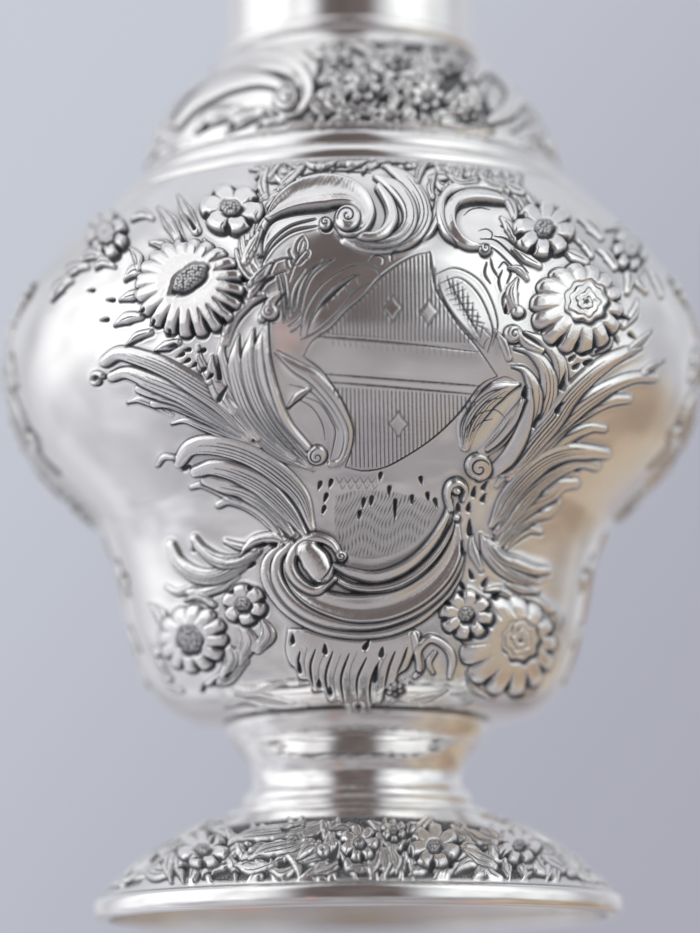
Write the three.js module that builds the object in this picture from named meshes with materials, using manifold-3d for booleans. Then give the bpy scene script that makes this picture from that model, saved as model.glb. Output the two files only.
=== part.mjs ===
// Ciborium: a covered silver cup on a stem and spreading foot, with a lift-off cover.
// Millimetres, +Z up, origin on the axis at the plane the foot stands on.
// The front faces -Y, and the arms of the cross on top lie along X.
import * as THREE from "three";
import { mergeVertices } from "three/addons/utils/BufferGeometryUtils.js";
import Module from "manifold-3d";

const wasm = await Module();
wasm.setup();

// ---- driving dimensions ----
// Facets round each turned piece
const SEG_LARGE = 36; // bowl, foot and cover
const SEG_MID = 24; // stem, cap and rings
const SEG_SMALL = 12; // knop, boss, bolt, stud and washers

const WALL = 0.9; // gauge of the raised shells
const FOOT_R = 35.9; // widest radius of the foot band
const BOWL_R = 48.2; // widest radius of the bowl
const MOUTH_R = 29.4; // clear radius of the mouth
const BEZEL_R = 28.9; // outside of the flange that drops into the mouth
const BEZEL_DEPTH = 6.5;
const BEZEL_GAUGE = 0.9;
const DRUM_R = 17.2;
const CROSS_SPAN = 17.4;
const CROSS_THICK = 2.4;

// Heights where one piece meets the next, from the ground up
const BAND_TOP_Z = 2.8;
const FOOT_DOME_TOP_Z = 13.8;
const FILLET_TOP_Z = 15.1;
const BEAD_TOP_Z = 17.4;
const SPOOL_TOP_Z = 23.4;
const BOWL_BOTTOM_Z = 24.2;
const BOWL_TOP_Z = 98.0;
const MOUTH_TOP_Z = 101.0;
const RIM_TOP_Z = 103.2;
const COVER_DOME_TOP_Z = 120.4;
const BASE_RING_TOP_Z = 122.4;
const DRUM_TOP_Z = 136.0;
const TOP_RING_TOP_Z = 138.6;
const CAP_TOP_Z = 151.6;
const KNOP_TOP_Z = 161.4;
const CROSS_TOP_Z = 186.0;

// The bolt that holds the foot and stem to the bowl, and the clearance holes round it
const TIE_R = 3.0;
const TIE_CLEAR = 0.25;
const TIE_HOLE_R = TIE_R + TIE_CLEAR;

// The stud that holds the finial to the cover, and the clearance holes round it
const FINIAL_R = 1.5;
const FINIAL_CLEAR = 0.2;
const FINIAL_HOLE_R = FINIAL_R + FINIAL_CLEAR;

// ---- materials ----
const metal = ({ color, roughness }) =>
  new THREE.MeshStandardMaterial({ color, roughness, metalness: 1 });
const silver = () => metal({ color: 0xe6e3df, roughness: 0.18 });
const gilt = () => metal({ color: 0xd9b15a, roughness: 0.25 });
const brass = () => metal({ color: 0xb08d4a, roughness: 0.4 });

// ---- solids and meshes ----
// Merges the seams of a geometry so that it closes into a solid.
function solidOf(geometry) {
  geometry.deleteAttribute("normal");
  geometry.deleteAttribute("uv");
  const merged = mergeVertices(geometry, 1e-4);
  return new wasm.Manifold(new wasm.Mesh({
    numProp: 3,
    vertProperties: new Float32Array(merged.attributes.position.array),
    triVerts: new Uint32Array(merged.index.array),
  }));
}

function geometryOf(solid) {
  const mesh = solid.getMesh();
  const geometry = new THREE.BufferGeometry();
  geometry.setAttribute("position", new THREE.Float32BufferAttribute(mesh.vertProperties, 3));
  geometry.setIndex(new THREE.Uint32BufferAttribute(mesh.triVerts, 1));
  geometry.computeVertexNormals();
  return geometry;
}

// A solid turned from a closed section of [radius, height] points, with no repeated last point.
// A section that reaches the axis starts and ends on it.
function turnedSolid(section, segments) {
  const points = section.map(([radius, z]) => new THREE.Vector2(radius, z));
  // An anticlockwise section turns its faces outwards.
  if (THREE.ShapeUtils.isClockWise(points)) points.reverse();
  const onAxis = points[0].x === 0;
  if (!onAxis) points.push(points[0].clone());
  const lathe = new THREE.LatheGeometry(points, segments);
  lathe.rotateX(Math.PI / 2);
  return solidOf(lathe);
}

const turned = (section, segments) => geometryOf(turnedSolid(section, segments));

// An outside line that runs upwards, offset towards the inside of the shell.
function offsetInwards(line, gauge) {
  return line.map(([radius, z], i) => {
    const before = line[Math.max(0, i - 1)];
    const after = line[Math.min(line.length - 1, i + 1)];
    const run = after[0] - before[0];
    const rise = after[1] - before[1];
    const length = Math.hypot(run, rise);
    return [radius - (rise / length) * gauge, z + (run / length) * gauge];
  });
}

// The inside line of a dome, from the top down, without its two end points.
const domeInside = (line) => offsetInwards(line, WALL).slice(1, -1).reverse();

// A round bar with both ends chamfered.
function rod(radius, chamfer, bottom, top) {
  return turned([
    [0, bottom], [radius - chamfer, bottom], [radius, bottom + chamfer],
    [radius, top - chamfer], [radius - chamfer, top], [0, top],
  ], SEG_SMALL);
}

function washer(holeR, outerR, bottom, top) {
  return turned([[holeR, bottom], [outerR, bottom], [outerR, top], [holeR, top]], SEG_SMALL);
}

function hexNut(acrossFlats, holeR, bottom, top) {
  const overshoot = 1; // how far the bore runs past each face
  const prism = (radius, height, sides) => {
    const cylinder = new THREE.CylinderGeometry(radius, radius, height, sides);
    cylinder.rotateX(Math.PI / 2);
    cylinder.translate(0, 0, (bottom + top) / 2);
    return solidOf(cylinder);
  };
  const hexagon = prism(acrossFlats / Math.sqrt(3), top - bottom, 6);
  const bore = prism(holeR, top - bottom + 2 * overshoot, SEG_SMALL);
  return geometryOf(hexagon.subtract(bore));
}

const root = new THREE.Group();

function put(name, geometry, material, parent = root) {
  const mesh = new THREE.Mesh(geometry, material);
  mesh.name = name;
  parent.add(mesh);
}

// All sections below are [radius, height] points.

// ---- foot and stem ----
const BAND_HOLE_R = FOOT_R - 2;
const STEM_HOLE_R = 13.3; // inside the bead ring and the lower spool
const COLLAR_HOLE_R = 13.4;

// Upright band the foot stands on
put("foot_band", turned([
  [BAND_HOLE_R, 0], [FOOT_R - 0.6, 0], [FOOT_R - 0.15, 0.3], [FOOT_R, 0.8],
  [FOOT_R, 2.1], [FOOT_R - 0.15, 2.5], [FOOT_R - 0.6, BAND_TOP_Z], [BAND_HOLE_R, BAND_TOP_Z],
], SEG_LARGE), silver());

// Spreading dome of the foot, with a flat lip at the top
const FOOT_LIP_R = 15.9;
const FOOT_LIP_UNDER_Z = FOOT_DOME_TOP_Z - WALL;
const FOOT_DOME = [
  [34.9, BAND_TOP_Z], [34.0, 3.7], [32.3, 5.1], [29.7, 7.3],
  [26.6, 9.4], [22.9, 11.4], [20.2, 12.7], [18.0, FOOT_DOME_TOP_Z],
];
put("foot_dome", turned([
  ...FOOT_DOME,
  [FOOT_LIP_R, FOOT_DOME_TOP_Z], [FOOT_LIP_R, FOOT_LIP_UNDER_Z], [17.6, FOOT_LIP_UNDER_Z],
  ...domeInside(FOOT_DOME),
  [BAND_HOLE_R, BAND_TOP_Z],
], SEG_LARGE), silver());

put("foot_fillet_ring", turned([
  [15.0, FOOT_DOME_TOP_Z], [17.9, FOOT_DOME_TOP_Z], [17.6, 14.4],
  [16.5, 14.8], [15.9, FILLET_TOP_Z], [15.0, FILLET_TOP_Z],
], SEG_MID), silver());

put("stem_bead_ring", turned([
  [STEM_HOLE_R, FILLET_TOP_Z], [15.5, FILLET_TOP_Z], [15.7, 15.8],
  [15.4, 16.6], [14.8, BEAD_TOP_Z], [STEM_HOLE_R, BEAD_TOP_Z],
], SEG_MID), silver());

// Waisted tube, outside upwards and then inside downwards
put("stem_spool", turned([
  [14.5, BEAD_TOP_Z], [14.25, 18.4], [14.4, 19.8], [15.0, 21.2], [16.0, 22.6],
  [16.8, SPOOL_TOP_Z], [15.7, SPOOL_TOP_Z],
  [14.9, 22.7], [13.9, 21.2], [STEM_HOLE_R, 19.6], [STEM_HOLE_R, BEAD_TOP_Z],
], SEG_MID), silver());

// Flared collar that the bottom of the bowl sits in
put("stem_collar", turned([
  [COLLAR_HOLE_R, SPOOL_TOP_Z], [16.4, SPOOL_TOP_Z], [17.0, 24.1], [17.6, 25.2], [17.9, 26.2],
  [17.7, 26.9], [17.1, 26.9],
  [16.7, 26.2], [16.2, 25.2], [15.4, BOWL_BOTTOM_Z], [COLLAR_HOLE_R, BOWL_BOTTOM_Z],
], SEG_MID), silver());

// ---- bowl ----
// Outside line. The underside is drawn in to a small flat that sits inside the collar.
const BOWL = [
  [14.9, BOWL_BOTTOM_Z], [15.5, 25.2], [15.9, 26.4], [16.5, 27.05], [17.8, 27.1],
  [20.0, 27.2], [22.6, 27.6], [25.0, 28.5], [27.3, 30.4], [29.2, 33.6],
  [30.6, 37.6], [31.7, 42.4], [32.6, 46.6], [33.7, 50.5], [35.35, 53.7],
  [38.1, 56.6], [41.1, 59.6], [44.3, 63.4], [46.5, 67.6], [47.8, 72.0],
  [BOWL_R, 76.3], [47.8, 80.5], [46.1, 84.7], [43.4, 88.7], [40.3, 92.3],
  [37.0, 95.6], [34.4, BOWL_TOP_Z],
];
// The inside takes every second point, and starts above the drawn-in underside.
const BOWL_INSIDE = offsetInwards(BOWL, WALL).slice(5, -1).filter((_, i) => i % 2 === 1);
put("bowl", turned([
  [0, BOWL_BOTTOM_Z],
  ...BOWL,
  [MOUTH_R + 1.2, BOWL_TOP_Z],
  ...BOWL_INSIDE.reverse(),
  [17.0, 28.0], [15.3, 27.3], [14.5, 26.1],
  [13.8, BOWL_BOTTOM_Z + WALL], [0, BOWL_BOTTOM_Z + WALL],
], SEG_LARGE), silver());

put("bowl_mouth_ring", turned([
  [MOUTH_R, BOWL_TOP_Z], [33.7, BOWL_TOP_Z], [33.4, 99.1], [32.6, 100.1],
  [31.6, 100.7], [30.6, MOUTH_TOP_Z], [MOUTH_R, MOUTH_TOP_Z],
], SEG_LARGE), silver());

// ---- what holds the foot, stem and bowl together, out of sight ----
const PLATE_TOP_Z = FOOT_LIP_UNDER_Z;
const PLATE_BOTTOM_Z = 11.2;
const PLATE_R = 17.3;
const PLATE_EDGE_Z = 12.0; // underside of the plate outside its thicker middle
const TIE_WASHER_BOTTOM_Z = 10.4;
const TIE_WASHER_R = 6.4;
const TIE_NUT_BOTTOM_Z = 5.6;
const TIE_NUT_FLATS = 10;
const TIE_BOTTOM_Z = 4.2;
const TIE_TOP_Z = 22.9;
const TIE_CHAMFER = 0.5;
const BOSS_BOTTOM_Z = 18.6;
const BOSS_HOLE_TOP_Z = 23.2;
const BOSS_R = 6.2;
const BOSS_FLANGE_R = 8.4;

// Soldered under the bowl and bored from below, so the inside of the bowl stays smooth.
put("bowl_boss", turned([
  [0, BOSS_HOLE_TOP_Z], [TIE_HOLE_R, BOSS_HOLE_TOP_Z], [TIE_HOLE_R, BOSS_BOTTOM_Z],
  [BOSS_R, BOSS_BOTTOM_Z], [BOSS_R, 22.8],
  [BOSS_FLANGE_R, 23.4], [BOSS_FLANGE_R, BOWL_BOTTOM_Z], [0, BOWL_BOTTOM_Z],
], SEG_SMALL), silver());

put("tie_bolt", rod(TIE_R, TIE_CHAMFER, TIE_BOTTOM_Z, TIE_TOP_Z), brass());

// Bears up against the lip of the foot dome
put("foot_plate", turned([
  [TIE_HOLE_R, PLATE_BOTTOM_Z], [6.8, PLATE_BOTTOM_Z], [7.6, PLATE_EDGE_Z],
  [PLATE_R, PLATE_EDGE_Z], [PLATE_R, PLATE_TOP_Z], [TIE_HOLE_R, PLATE_TOP_Z],
], SEG_MID), brass());

put("tie_washer",
  washer(TIE_HOLE_R, TIE_WASHER_R, TIE_WASHER_BOTTOM_Z, PLATE_BOTTOM_Z), brass());
put("tie_nut",
  hexNut(TIE_NUT_FLATS, TIE_HOLE_R, TIE_NUT_BOTTOM_Z, TIE_WASHER_BOTTOM_Z), brass());

// ---- cover ----
// Everything below lifts off as one piece.
const cover = new THREE.Group();
root.add(cover);

const RIM_HOLE_R = 26.8;
put("cover_rim", turned([
  [RIM_HOLE_R, MOUTH_TOP_Z], [30.4, MOUTH_TOP_Z], [30.2, 101.8],
  [29.8, 102.6], [29.3, RIM_TOP_Z], [RIM_HOLE_R, RIM_TOP_Z],
], SEG_LARGE), silver(), cover);

// Flange that drops into the mouth
const BEZEL_HOLE_R = BEZEL_R - BEZEL_GAUGE;
const BEZEL_BOTTOM_Z = MOUTH_TOP_Z - BEZEL_DEPTH;
put("cover_bezel", turned([
  [BEZEL_HOLE_R, BEZEL_BOTTOM_Z], [BEZEL_R - 0.3, BEZEL_BOTTOM_Z],
  [BEZEL_R, BEZEL_BOTTOM_Z + 0.5], [BEZEL_R, MOUTH_TOP_Z], [BEZEL_HOLE_R, MOUTH_TOP_Z],
], SEG_LARGE), gilt(), cover);

// Dome of the cover, with a flat lip at the top
const COVER_DOME_R = 29.2;
const COVER_LIP_R = 15.6;
const COVER_LIP_UNDER_Z = COVER_DOME_TOP_Z - WALL;
const COVER_DOME = [
  [COVER_DOME_R, RIM_TOP_Z], [28.8, 105.4], [27.7, 108.6], [26.2, 111.2],
  [24.0, 113.8], [21.2, 116.4], [18.9, 118.8], [18.1, COVER_DOME_TOP_Z],
];
put("cover_dome", turned([
  ...COVER_DOME,
  [COVER_LIP_R, COVER_DOME_TOP_Z], [COVER_LIP_R, COVER_LIP_UNDER_Z], [16.7, COVER_LIP_UNDER_Z],
  ...domeInside(COVER_DOME),
  [COVER_DOME_R - WALL, RIM_TOP_Z],
], SEG_LARGE), silver(), cover);

put("drum_base_ring", turned([
  [16.1, COVER_DOME_TOP_Z], [18.0, COVER_DOME_TOP_Z], [18.3, 121.0],
  [18.2, 121.8], [17.6, BASE_RING_TOP_Z], [16.1, BASE_RING_TOP_Z],
], SEG_MID), silver(), cover);

put("drum", turned([
  [DRUM_R - WALL, BASE_RING_TOP_Z], [DRUM_R + 0.2, BASE_RING_TOP_Z], [DRUM_R + 0.05, 125.5],
  [DRUM_R, 130.0], [DRUM_R, DRUM_TOP_Z], [DRUM_R - WALL, DRUM_TOP_Z],
], SEG_LARGE), silver(), cover);

put("drum_top_ring", turned([
  [15.8, DRUM_TOP_Z], [17.6, DRUM_TOP_Z], [18.2, 136.6], [18.2, 137.5],
  [17.6, 138.2], [16.9, TOP_RING_TOP_Z], [15.8, TOP_RING_TOP_Z],
], SEG_MID), silver(), cover);

// Cap over the drum, outside upwards and then inside downwards
const CAP_R = 16.6;
const CAP_UNDER_Z = 149.4; // flat under the crown, where the washer bears
put("cover_cap", turned([
  [CAP_R, TOP_RING_TOP_Z], [16.3, 140.5], [15.2, 143.0], [13.0, 145.6],
  [10.0, 147.6], [7.0, 149.1], [4.8, 150.4], [4.0, CAP_TOP_Z],
  [FINIAL_HOLE_R, CAP_TOP_Z], [FINIAL_HOLE_R, CAP_UNDER_Z],
  [3.6, CAP_UNDER_Z], [6.5, 148.25], [9.6, 146.75], [12.4, 144.85],
  [14.4, 142.6], [15.4, 140.3], [CAP_R - WALL, TOP_RING_TOP_Z],
], SEG_MID), silver(), cover);

// ---- finial ----
put("finial_knop", turned([
  [FINIAL_HOLE_R, CAP_TOP_Z], [3.6, CAP_TOP_Z], [3.9, 152.4], [3.3, 153.1], [3.1, 153.7],
  [4.6, 154.4], [5.9, 155.8], [6.3, 157.3], [5.8, 158.8], [4.4, 160.0],
  [3.1, 160.6], [2.9, 161.0], [3.2, KNOP_TOP_Z], [FINIAL_HOLE_R, KNOP_TOP_Z],
], SEG_SMALL), silver(), cover);

// Flat cross with flared arms, whose side and top ends are hollowed
function crossPlate() {
  const half = CROSS_SPAN / 2;
  const midZ = CROSS_TOP_Z - half; // height of the crossing
  const footZ = 164.6;
  const waist = 1.5; // half-width of an arm at the crossing
  const tip = 3.3; // half-width of an arm at its end
  const flare = half * 0.45; // distance out to the control points of the flares
  const hollow = 1.1; // control point depth of the hollowed ends
  const outline = new THREE.Shape();
  outline.moveTo(-tip, footZ);
  outline.lineTo(tip, footZ);
  // Control point and end point of each curve, anticlockwise seen from the front
  const curves = [
    [waist * 0.8, (footZ + midZ) / 2, waist, midZ - waist],
    [flare, midZ - waist, half, midZ - tip],
    [half - hollow, midZ, half, midZ + tip],
    [flare, midZ + waist, waist, midZ + waist],
    [waist, midZ + flare, tip, CROSS_TOP_Z],
    [0, CROSS_TOP_Z - hollow, -tip, CROSS_TOP_Z],
    [-waist, midZ + flare, -waist, midZ + waist],
    [-flare, midZ + waist, -half, midZ + tip],
    [-half + hollow, midZ, -half, midZ - tip],
    [-flare, midZ - waist, -waist, midZ - waist],
    [-waist * 0.8, (footZ + midZ) / 2, -tip, footZ],
  ];
  for (const curve of curves) outline.quadraticCurveTo(...curve);
  const plate = new THREE.ExtrudeGeometry(outline, {
    depth: CROSS_THICK,
    bevelEnabled: false,
    curveSegments: 5,
  });
  plate.translate(0, 0, -CROSS_THICK / 2);
  plate.rotateX(Math.PI / 2);
  return solidOf(plate);
}

// The cross stands on a turned foot, bored from below for the stud.
const CROSS_HOLE_TOP_Z = 165.4;
const crossFoot = turnedSolid([
  [0, KNOP_TOP_Z], [3.0, KNOP_TOP_Z], [3.3, 162.1], [3.0, 162.9], [2.6, 163.6],
  [2.7, 165.2], [3.3, 166.0], [3.0, 166.8], [0, 167.4],
], SEG_SMALL);
const crossBore = turnedSolid([
  [0, KNOP_TOP_Z - 1], [FINIAL_HOLE_R, KNOP_TOP_Z - 1],
  [FINIAL_HOLE_R, CROSS_HOLE_TOP_Z], [0, CROSS_HOLE_TOP_Z],
], SEG_SMALL);
const cross = crossPlate().add(crossFoot).subtract(crossBore);
put("finial_cross", geometryOf(cross), silver(), cover);

// Stud, washer and nut, fastened inside the cap
const STUD_BOTTOM_Z = 145.4;
const STUD_TOP_Z = 165.1;
const STUD_CHAMFER = 0.3;
const FINIAL_WASHER_R = 3.5;
const FINIAL_NUT_TOP_Z = 148.8;
const FINIAL_NUT_BOTTOM_Z = 146.4;
const FINIAL_NUT_FLATS = 5.5;

put("finial_stud", rod(FINIAL_R, STUD_CHAMFER, STUD_BOTTOM_Z, STUD_TOP_Z), brass(), cover);
put("finial_washer",
  washer(FINIAL_HOLE_R, FINIAL_WASHER_R, FINIAL_NUT_TOP_Z, CAP_UNDER_Z), brass(), cover);
put("finial_nut",
  hexNut(FINIAL_NUT_FLATS, FINIAL_HOLE_R, FINIAL_NUT_BOTTOM_Z, FINIAL_NUT_TOP_Z), brass(), cover);

export default root;
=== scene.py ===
"""A chased silver ciborium: a footed cup with a loose domed cover and a cross on top.

It stands upright on z = 0 with its axis on z; its front faces -Y and +X is on its right.
Profiles are in millimetres and the scene is in metres. The ornament is drawn on flat sheets
with their own unit of about 0.14 mm, y running down on the faces, then laid on the shells.
"""
import bpy
import bmesh
import math
import numpy as np
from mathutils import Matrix, Quaternion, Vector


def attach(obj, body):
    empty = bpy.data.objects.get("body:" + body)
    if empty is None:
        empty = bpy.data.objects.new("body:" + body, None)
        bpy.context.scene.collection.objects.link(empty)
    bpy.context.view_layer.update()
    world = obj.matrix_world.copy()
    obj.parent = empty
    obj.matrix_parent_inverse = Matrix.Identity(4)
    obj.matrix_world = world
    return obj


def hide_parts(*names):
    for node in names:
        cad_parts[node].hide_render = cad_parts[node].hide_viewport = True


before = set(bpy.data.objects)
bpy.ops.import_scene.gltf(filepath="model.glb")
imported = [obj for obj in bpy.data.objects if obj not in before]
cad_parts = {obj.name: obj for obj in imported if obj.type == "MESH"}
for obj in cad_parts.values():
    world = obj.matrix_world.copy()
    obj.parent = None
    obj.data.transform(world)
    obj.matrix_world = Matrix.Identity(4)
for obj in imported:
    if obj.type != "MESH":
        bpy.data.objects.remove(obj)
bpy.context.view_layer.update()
MM = 0.001
scene = bpy.context.scene

# Sheets
UNIT = 0.139                    # mm per sheet unit on the unrolled sheets
STEP = 0.5    # sample spacing of a sheet, in sheet units
# tarnish holds real tarnish in the hollows and painted shade on the sides of the work away from the
# light
LAYERS = ("height", "tarnish", "matt")

# View: the camera, and the eye that the face sheets are drawn from
PITCH = math.radians(10)        # the view looks up by this much
ROLL = math.radians(0.55)
VIEW_DISTANCE = 501.4           # mm from the eye to the aim point
AIM_Z = 62.6                    # mm
EYE_TO_SHEET = 3600.0           # sheet units
SHEET_CENTRE = (354.0, 466.5)   # where the line of sight meets a face sheet

# Turned work
WALL = 0.9                      # mm, thickness of the raised shells
ROW = 0.108 * 1.0
COVER_RADIUS, FOOT_RADIUS = 24.0, 27.0  # mm, where the bands' side ornament has its true size


# ---------------------------------------------------------------- reading drawn tables
def parse(text):
    """Points from '3,4 5,6', or plain numbers from '3 4'."""
    return [tuple(map(float, word.split(","))) if "," in word else float(word)
            for word in text.split()]


def rows(table):
    """Rows end at a line end or semicolon; their fields are parted by '|'."""
    entries = table.replace("\n", ";").split(";")
    return [[parse(field) for field in entry.split("|")] for entry in entries if entry.strip()]


# ---------------------------------------------------------------- smoothing and lines
def smooth(x, low, high):
    ratio = np.clip((x - low) / (high - low), 0.0, 1.0)
    return ratio * ratio * (3 - 2 * ratio)


def box_blur(values, reach, axis):
    """Mean over 2*reach+1 samples along an axis, with the edge value held beyond the sheet."""
    values = np.moveaxis(values, axis, -1)
    padded = np.concatenate([np.repeat(values[..., :1], reach + 1, -1), values,
                             np.repeat(values[..., -1:], reach, -1)], -1)
    total = np.cumsum(padded, -1, dtype=np.float64)
    span = 2 * reach + 1
    mean = (total[..., span:] - total[..., :-span]) / span
    return np.moveaxis(mean.astype(np.float32), -1, axis)


def blur(values, sigma):
    """Three box blurs that stand in for a Gaussian."""
    reach = max(1, int(round((math.sqrt(4 * sigma * sigma + 1) - 1) / 2)))
    for _ in range(3):
        values = box_blur(box_blur(values, reach, 0), reach, 1)
    return values


def spline(points, gap=2.5):
    """A Catmull-Rom line through the points, sampled about every gap."""
    given = np.asarray(points, np.float64)
    if len(given) == 2:
        count = max(2, int(np.hypot(*(given[1] - given[0])) / gap) + 1)
        return given[0] + (given[1] - given[0]) * np.linspace(0, 1, count)[:, None]
    ends = np.vstack([2 * given[0] - given[1], given, 2 * given[-1] - given[-2]])
    parts = []
    for i in range(1, len(ends) - 2):
        before, start, stop, after = ends[i - 1:i + 3]
        count = max(2, int(np.hypot(*(stop - start)) / gap) + 1)
        place = np.linspace(0, 1, count, endpoint=False)[:, None]
        parts.append(0.5 * (2 * start + (stop - before) * place
                            + (2 * before - 5 * start + 4 * stop - after) * place ** 2
                            + (3 * start - before - 3 * stop + after) * place ** 3))
    parts.append(given[-1:])
    return np.vstack(parts)


def line_lengths(line):
    """Distance along a line at each of its points."""
    return np.concatenate([[0], np.cumsum(np.hypot(*np.diff(line, axis=0).T))])


def spread(place, values):
    """A value that changes smoothly along a line, from evenly spaced values."""
    values = np.atleast_1d(np.asarray(values, np.float64))
    if len(values) == 1:
        return np.full(place.shape, values[0], np.float32)
    fine_place = np.linspace(0, 1, 129)
    fine = np.interp(fine_place, np.linspace(0, 1, len(values)), values)
    reach = max(1, int(129 / (len(values) * 5)))
    padded = np.concatenate([np.full(reach, fine[0]), fine, np.full(reach, fine[-1])])
    span = 2 * reach + 1
    fine = np.convolve(padded, np.ones(span) / span, "valid")
    return np.interp(place, fine_place, fine).astype(np.float32)


def chance(number, seed, rate=12.9898, gain=43758.5453):
    """A fixed scattered value from 0 to 1."""
    return abs(math.sin(number * rate + seed) * gain) % 1


# ---------------------------------------------------------------- the sheet
class Sheet:
    """A flat sheet of ornament: height (mm) above the shell, tarnish with painted shade, and matt
    tooling.
    """

    def __init__(self, x0, y0, x1, y1):
        self.x0, self.y0 = x0, y0
        self.xs = (x0 + STEP * np.arange(int((x1 - x0) / STEP) + 1)).astype(np.float32)
        self.ys = (y0 + STEP * np.arange(int((y1 - y0) / STEP) + 1)).astype(np.float32)
        for layer in LAYERS:
            setattr(self, layer, np.zeros((len(self.ys), len(self.xs)), np.float32))

    def window(self, x0, y0, x1, y1):
        """The row and column slices that cover a rectangle."""
        left = max(0, int((x0 - self.x0) / STEP))
        right = min(len(self.xs), int((x1 - self.x0) / STEP) + 2)
        top = max(0, int((y0 - self.y0) / STEP))
        bottom = min(len(self.ys), int((y1 - self.y0) / STEP) + 2)
        return slice(top, max(top, bottom)), slice(left, max(left, right))

    def around(self, x, y, reach):
        """The window round a point, and its samples' x and y."""
        window = self.window(x - reach, y - reach, x + reach, y + reach)
        return window, *self.grid(window)

    def grid(self, window):
        return self.xs[None, window[1]], self.ys[window[0], None]

    def near(self, line, reach):
        """For samples within reach of a line: window, distance, place along it (0-1), side."""
        line = np.asarray(line, np.float64)
        window = self.window(*(line.min(0) - reach), *(line.max(0) + reach))
        grid_x, grid_y = self.grid(window)
        shape = (grid_y.shape[0], grid_x.shape[1])
        squared = np.full(shape, (reach + 2.0) ** 2, np.float32)
        place = np.zeros(shape, np.float32)
        side = np.ones(shape, np.float32)
        if not shape[0] or not shape[1]:
            return window, np.sqrt(squared), place, side
        lengths = np.hypot(*np.diff(line, axis=0).T)
        starts = line_lengths(line)
        total = starts[-1] or 1.0
        for start, length, a, b in zip(starts, lengths, line[:-1], line[1:]):
            if length < 1e-6:
                continue
            part = self.window(*(np.minimum(a, b) - reach), *(np.maximum(a, b) + reach))
            local = tuple(slice(inner.start - outer.start, inner.stop - outer.start)
                          for inner, outer in zip(part, window))
            way_x, way_y = (np.float32(v) for v in (b - a) / length)
            dx = grid_x[:, local[1]] - np.float32(a[0])
            dy = grid_y[local[0]] - np.float32(a[1])
            along = np.clip(dx * way_x + dy * way_y, 0, np.float32(length))
            off_x, off_y = dx - along * way_x, dy - along * way_y
            found = off_x * off_x + off_y * off_y
            closer = found < squared[local]
            np.copyto(squared[local], found, where=closer)
            np.copyto(place[local], ((start + along) / total).astype(np.float32), where=closer)
            turn = np.where(way_x * dy - way_y * dx >= 0, 1.0, -1.0).astype(np.float32)
            np.copyto(side[local], turn, where=closer)
        return window, np.sqrt(np.maximum(squared, 0)), np.clip(place, 0, 1), side

    def darken(self, window, amount):
        self.tarnish[window] = np.maximum(self.tarnish[window], amount)

    def lay(self, window, inset, height, keep, groove, line_width, dark=1.0):
        """Lays one raised element over what is there; inset is the distance inside its edge.

        keep is the share of the old height left under it. Its outline is chased groove deep,
        and more heavily on the side away from the light, where its tarnish line is also painted
        darker as shade.
        """
        if inset.shape[0] < 3 or inset.shape[1] < 3:
            return
        slope_y, slope_x = np.gradient(inset)
        slope = np.sqrt(slope_x * slope_x + slope_y * slope_y) + 1e-5
        away = np.clip((-0.45 * slope_x - 0.89 * slope_y) / slope, -1, 1)
        heavy = 0.80 + 1.05 * np.clip(away, -0.15, 1)
        mask = smooth(inset, -0.7, 0.7)
        line = np.exp(-((inset + 0.55 * heavy) / (line_width * heavy)) ** 2)
        lip = np.exp(-((inset + (0.55 + 2.1 * line_width) * heavy) / (0.75 * line_width)) ** 2)
        self.height[window] = (self.height[window] * (1 - mask * (1 - keep)) + mask * height
                               - groove * line * heavy + 0.22 * groove * lip)
        # the outline's tarnish is painted heavier on the side away from the light, as shade
        self.tarnish[window] = np.maximum(self.tarnish[window] * (1 - mask),
                                          dark * line * (0.80 + 0.35 * away))
        self.matt[window] = np.maximum(self.matt[window] * (1 - mask), 0.55 * mask)


# ---------------------------------------------------------------- chasing tools
# Cross sections of a band: places across it (-1 to 1), and the share of its height there
SECTIONS = {
    "round": ([-1, -.9, -.6, 0, .6, .9, 1], [.42, .62, .88, 1, .88, .62, .42]),
    "lobe": ([-1, -.82, -.4, .35, .8, 1], [.52, .80, .98, 1, .82, .50]),
    "ridge": ([-1, -.5, -.12, 0, .12, .5, 1], [.35, .62, .94, 1, .94, .62, .35]),
    "flute": ([-1, -.88, -.70, -.35, 0, .35, .70, .88, 1],
              [.60, 1, .80, .42, .28, .42, .80, 1, .60]),
    "left": ([-1, -.78, -.3, .3, .75, 1], [.62, 1, .92, .70, .50, .34]),
    "right": ([-1, -.75, -.3, .3, .78, 1], [.34, .50, .70, .92, 1, .62]),
}


def band(sheet, points, widths, heights, section="round", keep=0.04, dark=1.0, exact=False,
         melt=0.0):
    """A lobe, rib or scroll; widths are half widths along it. With melt its far end runs into
    what is below. With exact the points are the line itself."""
    widest = np.max(widths)
    line = np.asarray(points, float) if exact else spline(points, 2.5 if widest < 8 else 0.9)
    window, distance, place, side = sheet.near(line, float(widest) + 3.5)
    half_width = np.maximum(spread(place, widths), 0.15)
    across = np.clip(distance * side / half_width, -1, 1)
    height = np.interp(across, *SECTIONS[section]).astype(np.float32) * spread(place, heights)
    if widest > 7.6:
        height = blur(height, 1.1 / STEP)
    groove = 0.09
    if melt:
        far = smooth(place, 0.42, 0.96) * melt
        keep = keep + (0.75 - keep) * far
        groove = groove * (1 - 0.8 * far)
        dark = dark * (1 - 0.82 * far)
    sheet.lay(window, half_width - distance, height, keep, groove, 0.8, dark)


def bands(sheet, table, section="round", keep=0.04):
    """Bands from rows of points | half widths | heights."""
    for points, widths, heights in rows(table):
        band(sheet, points, widths, heights, section, keep)


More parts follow.
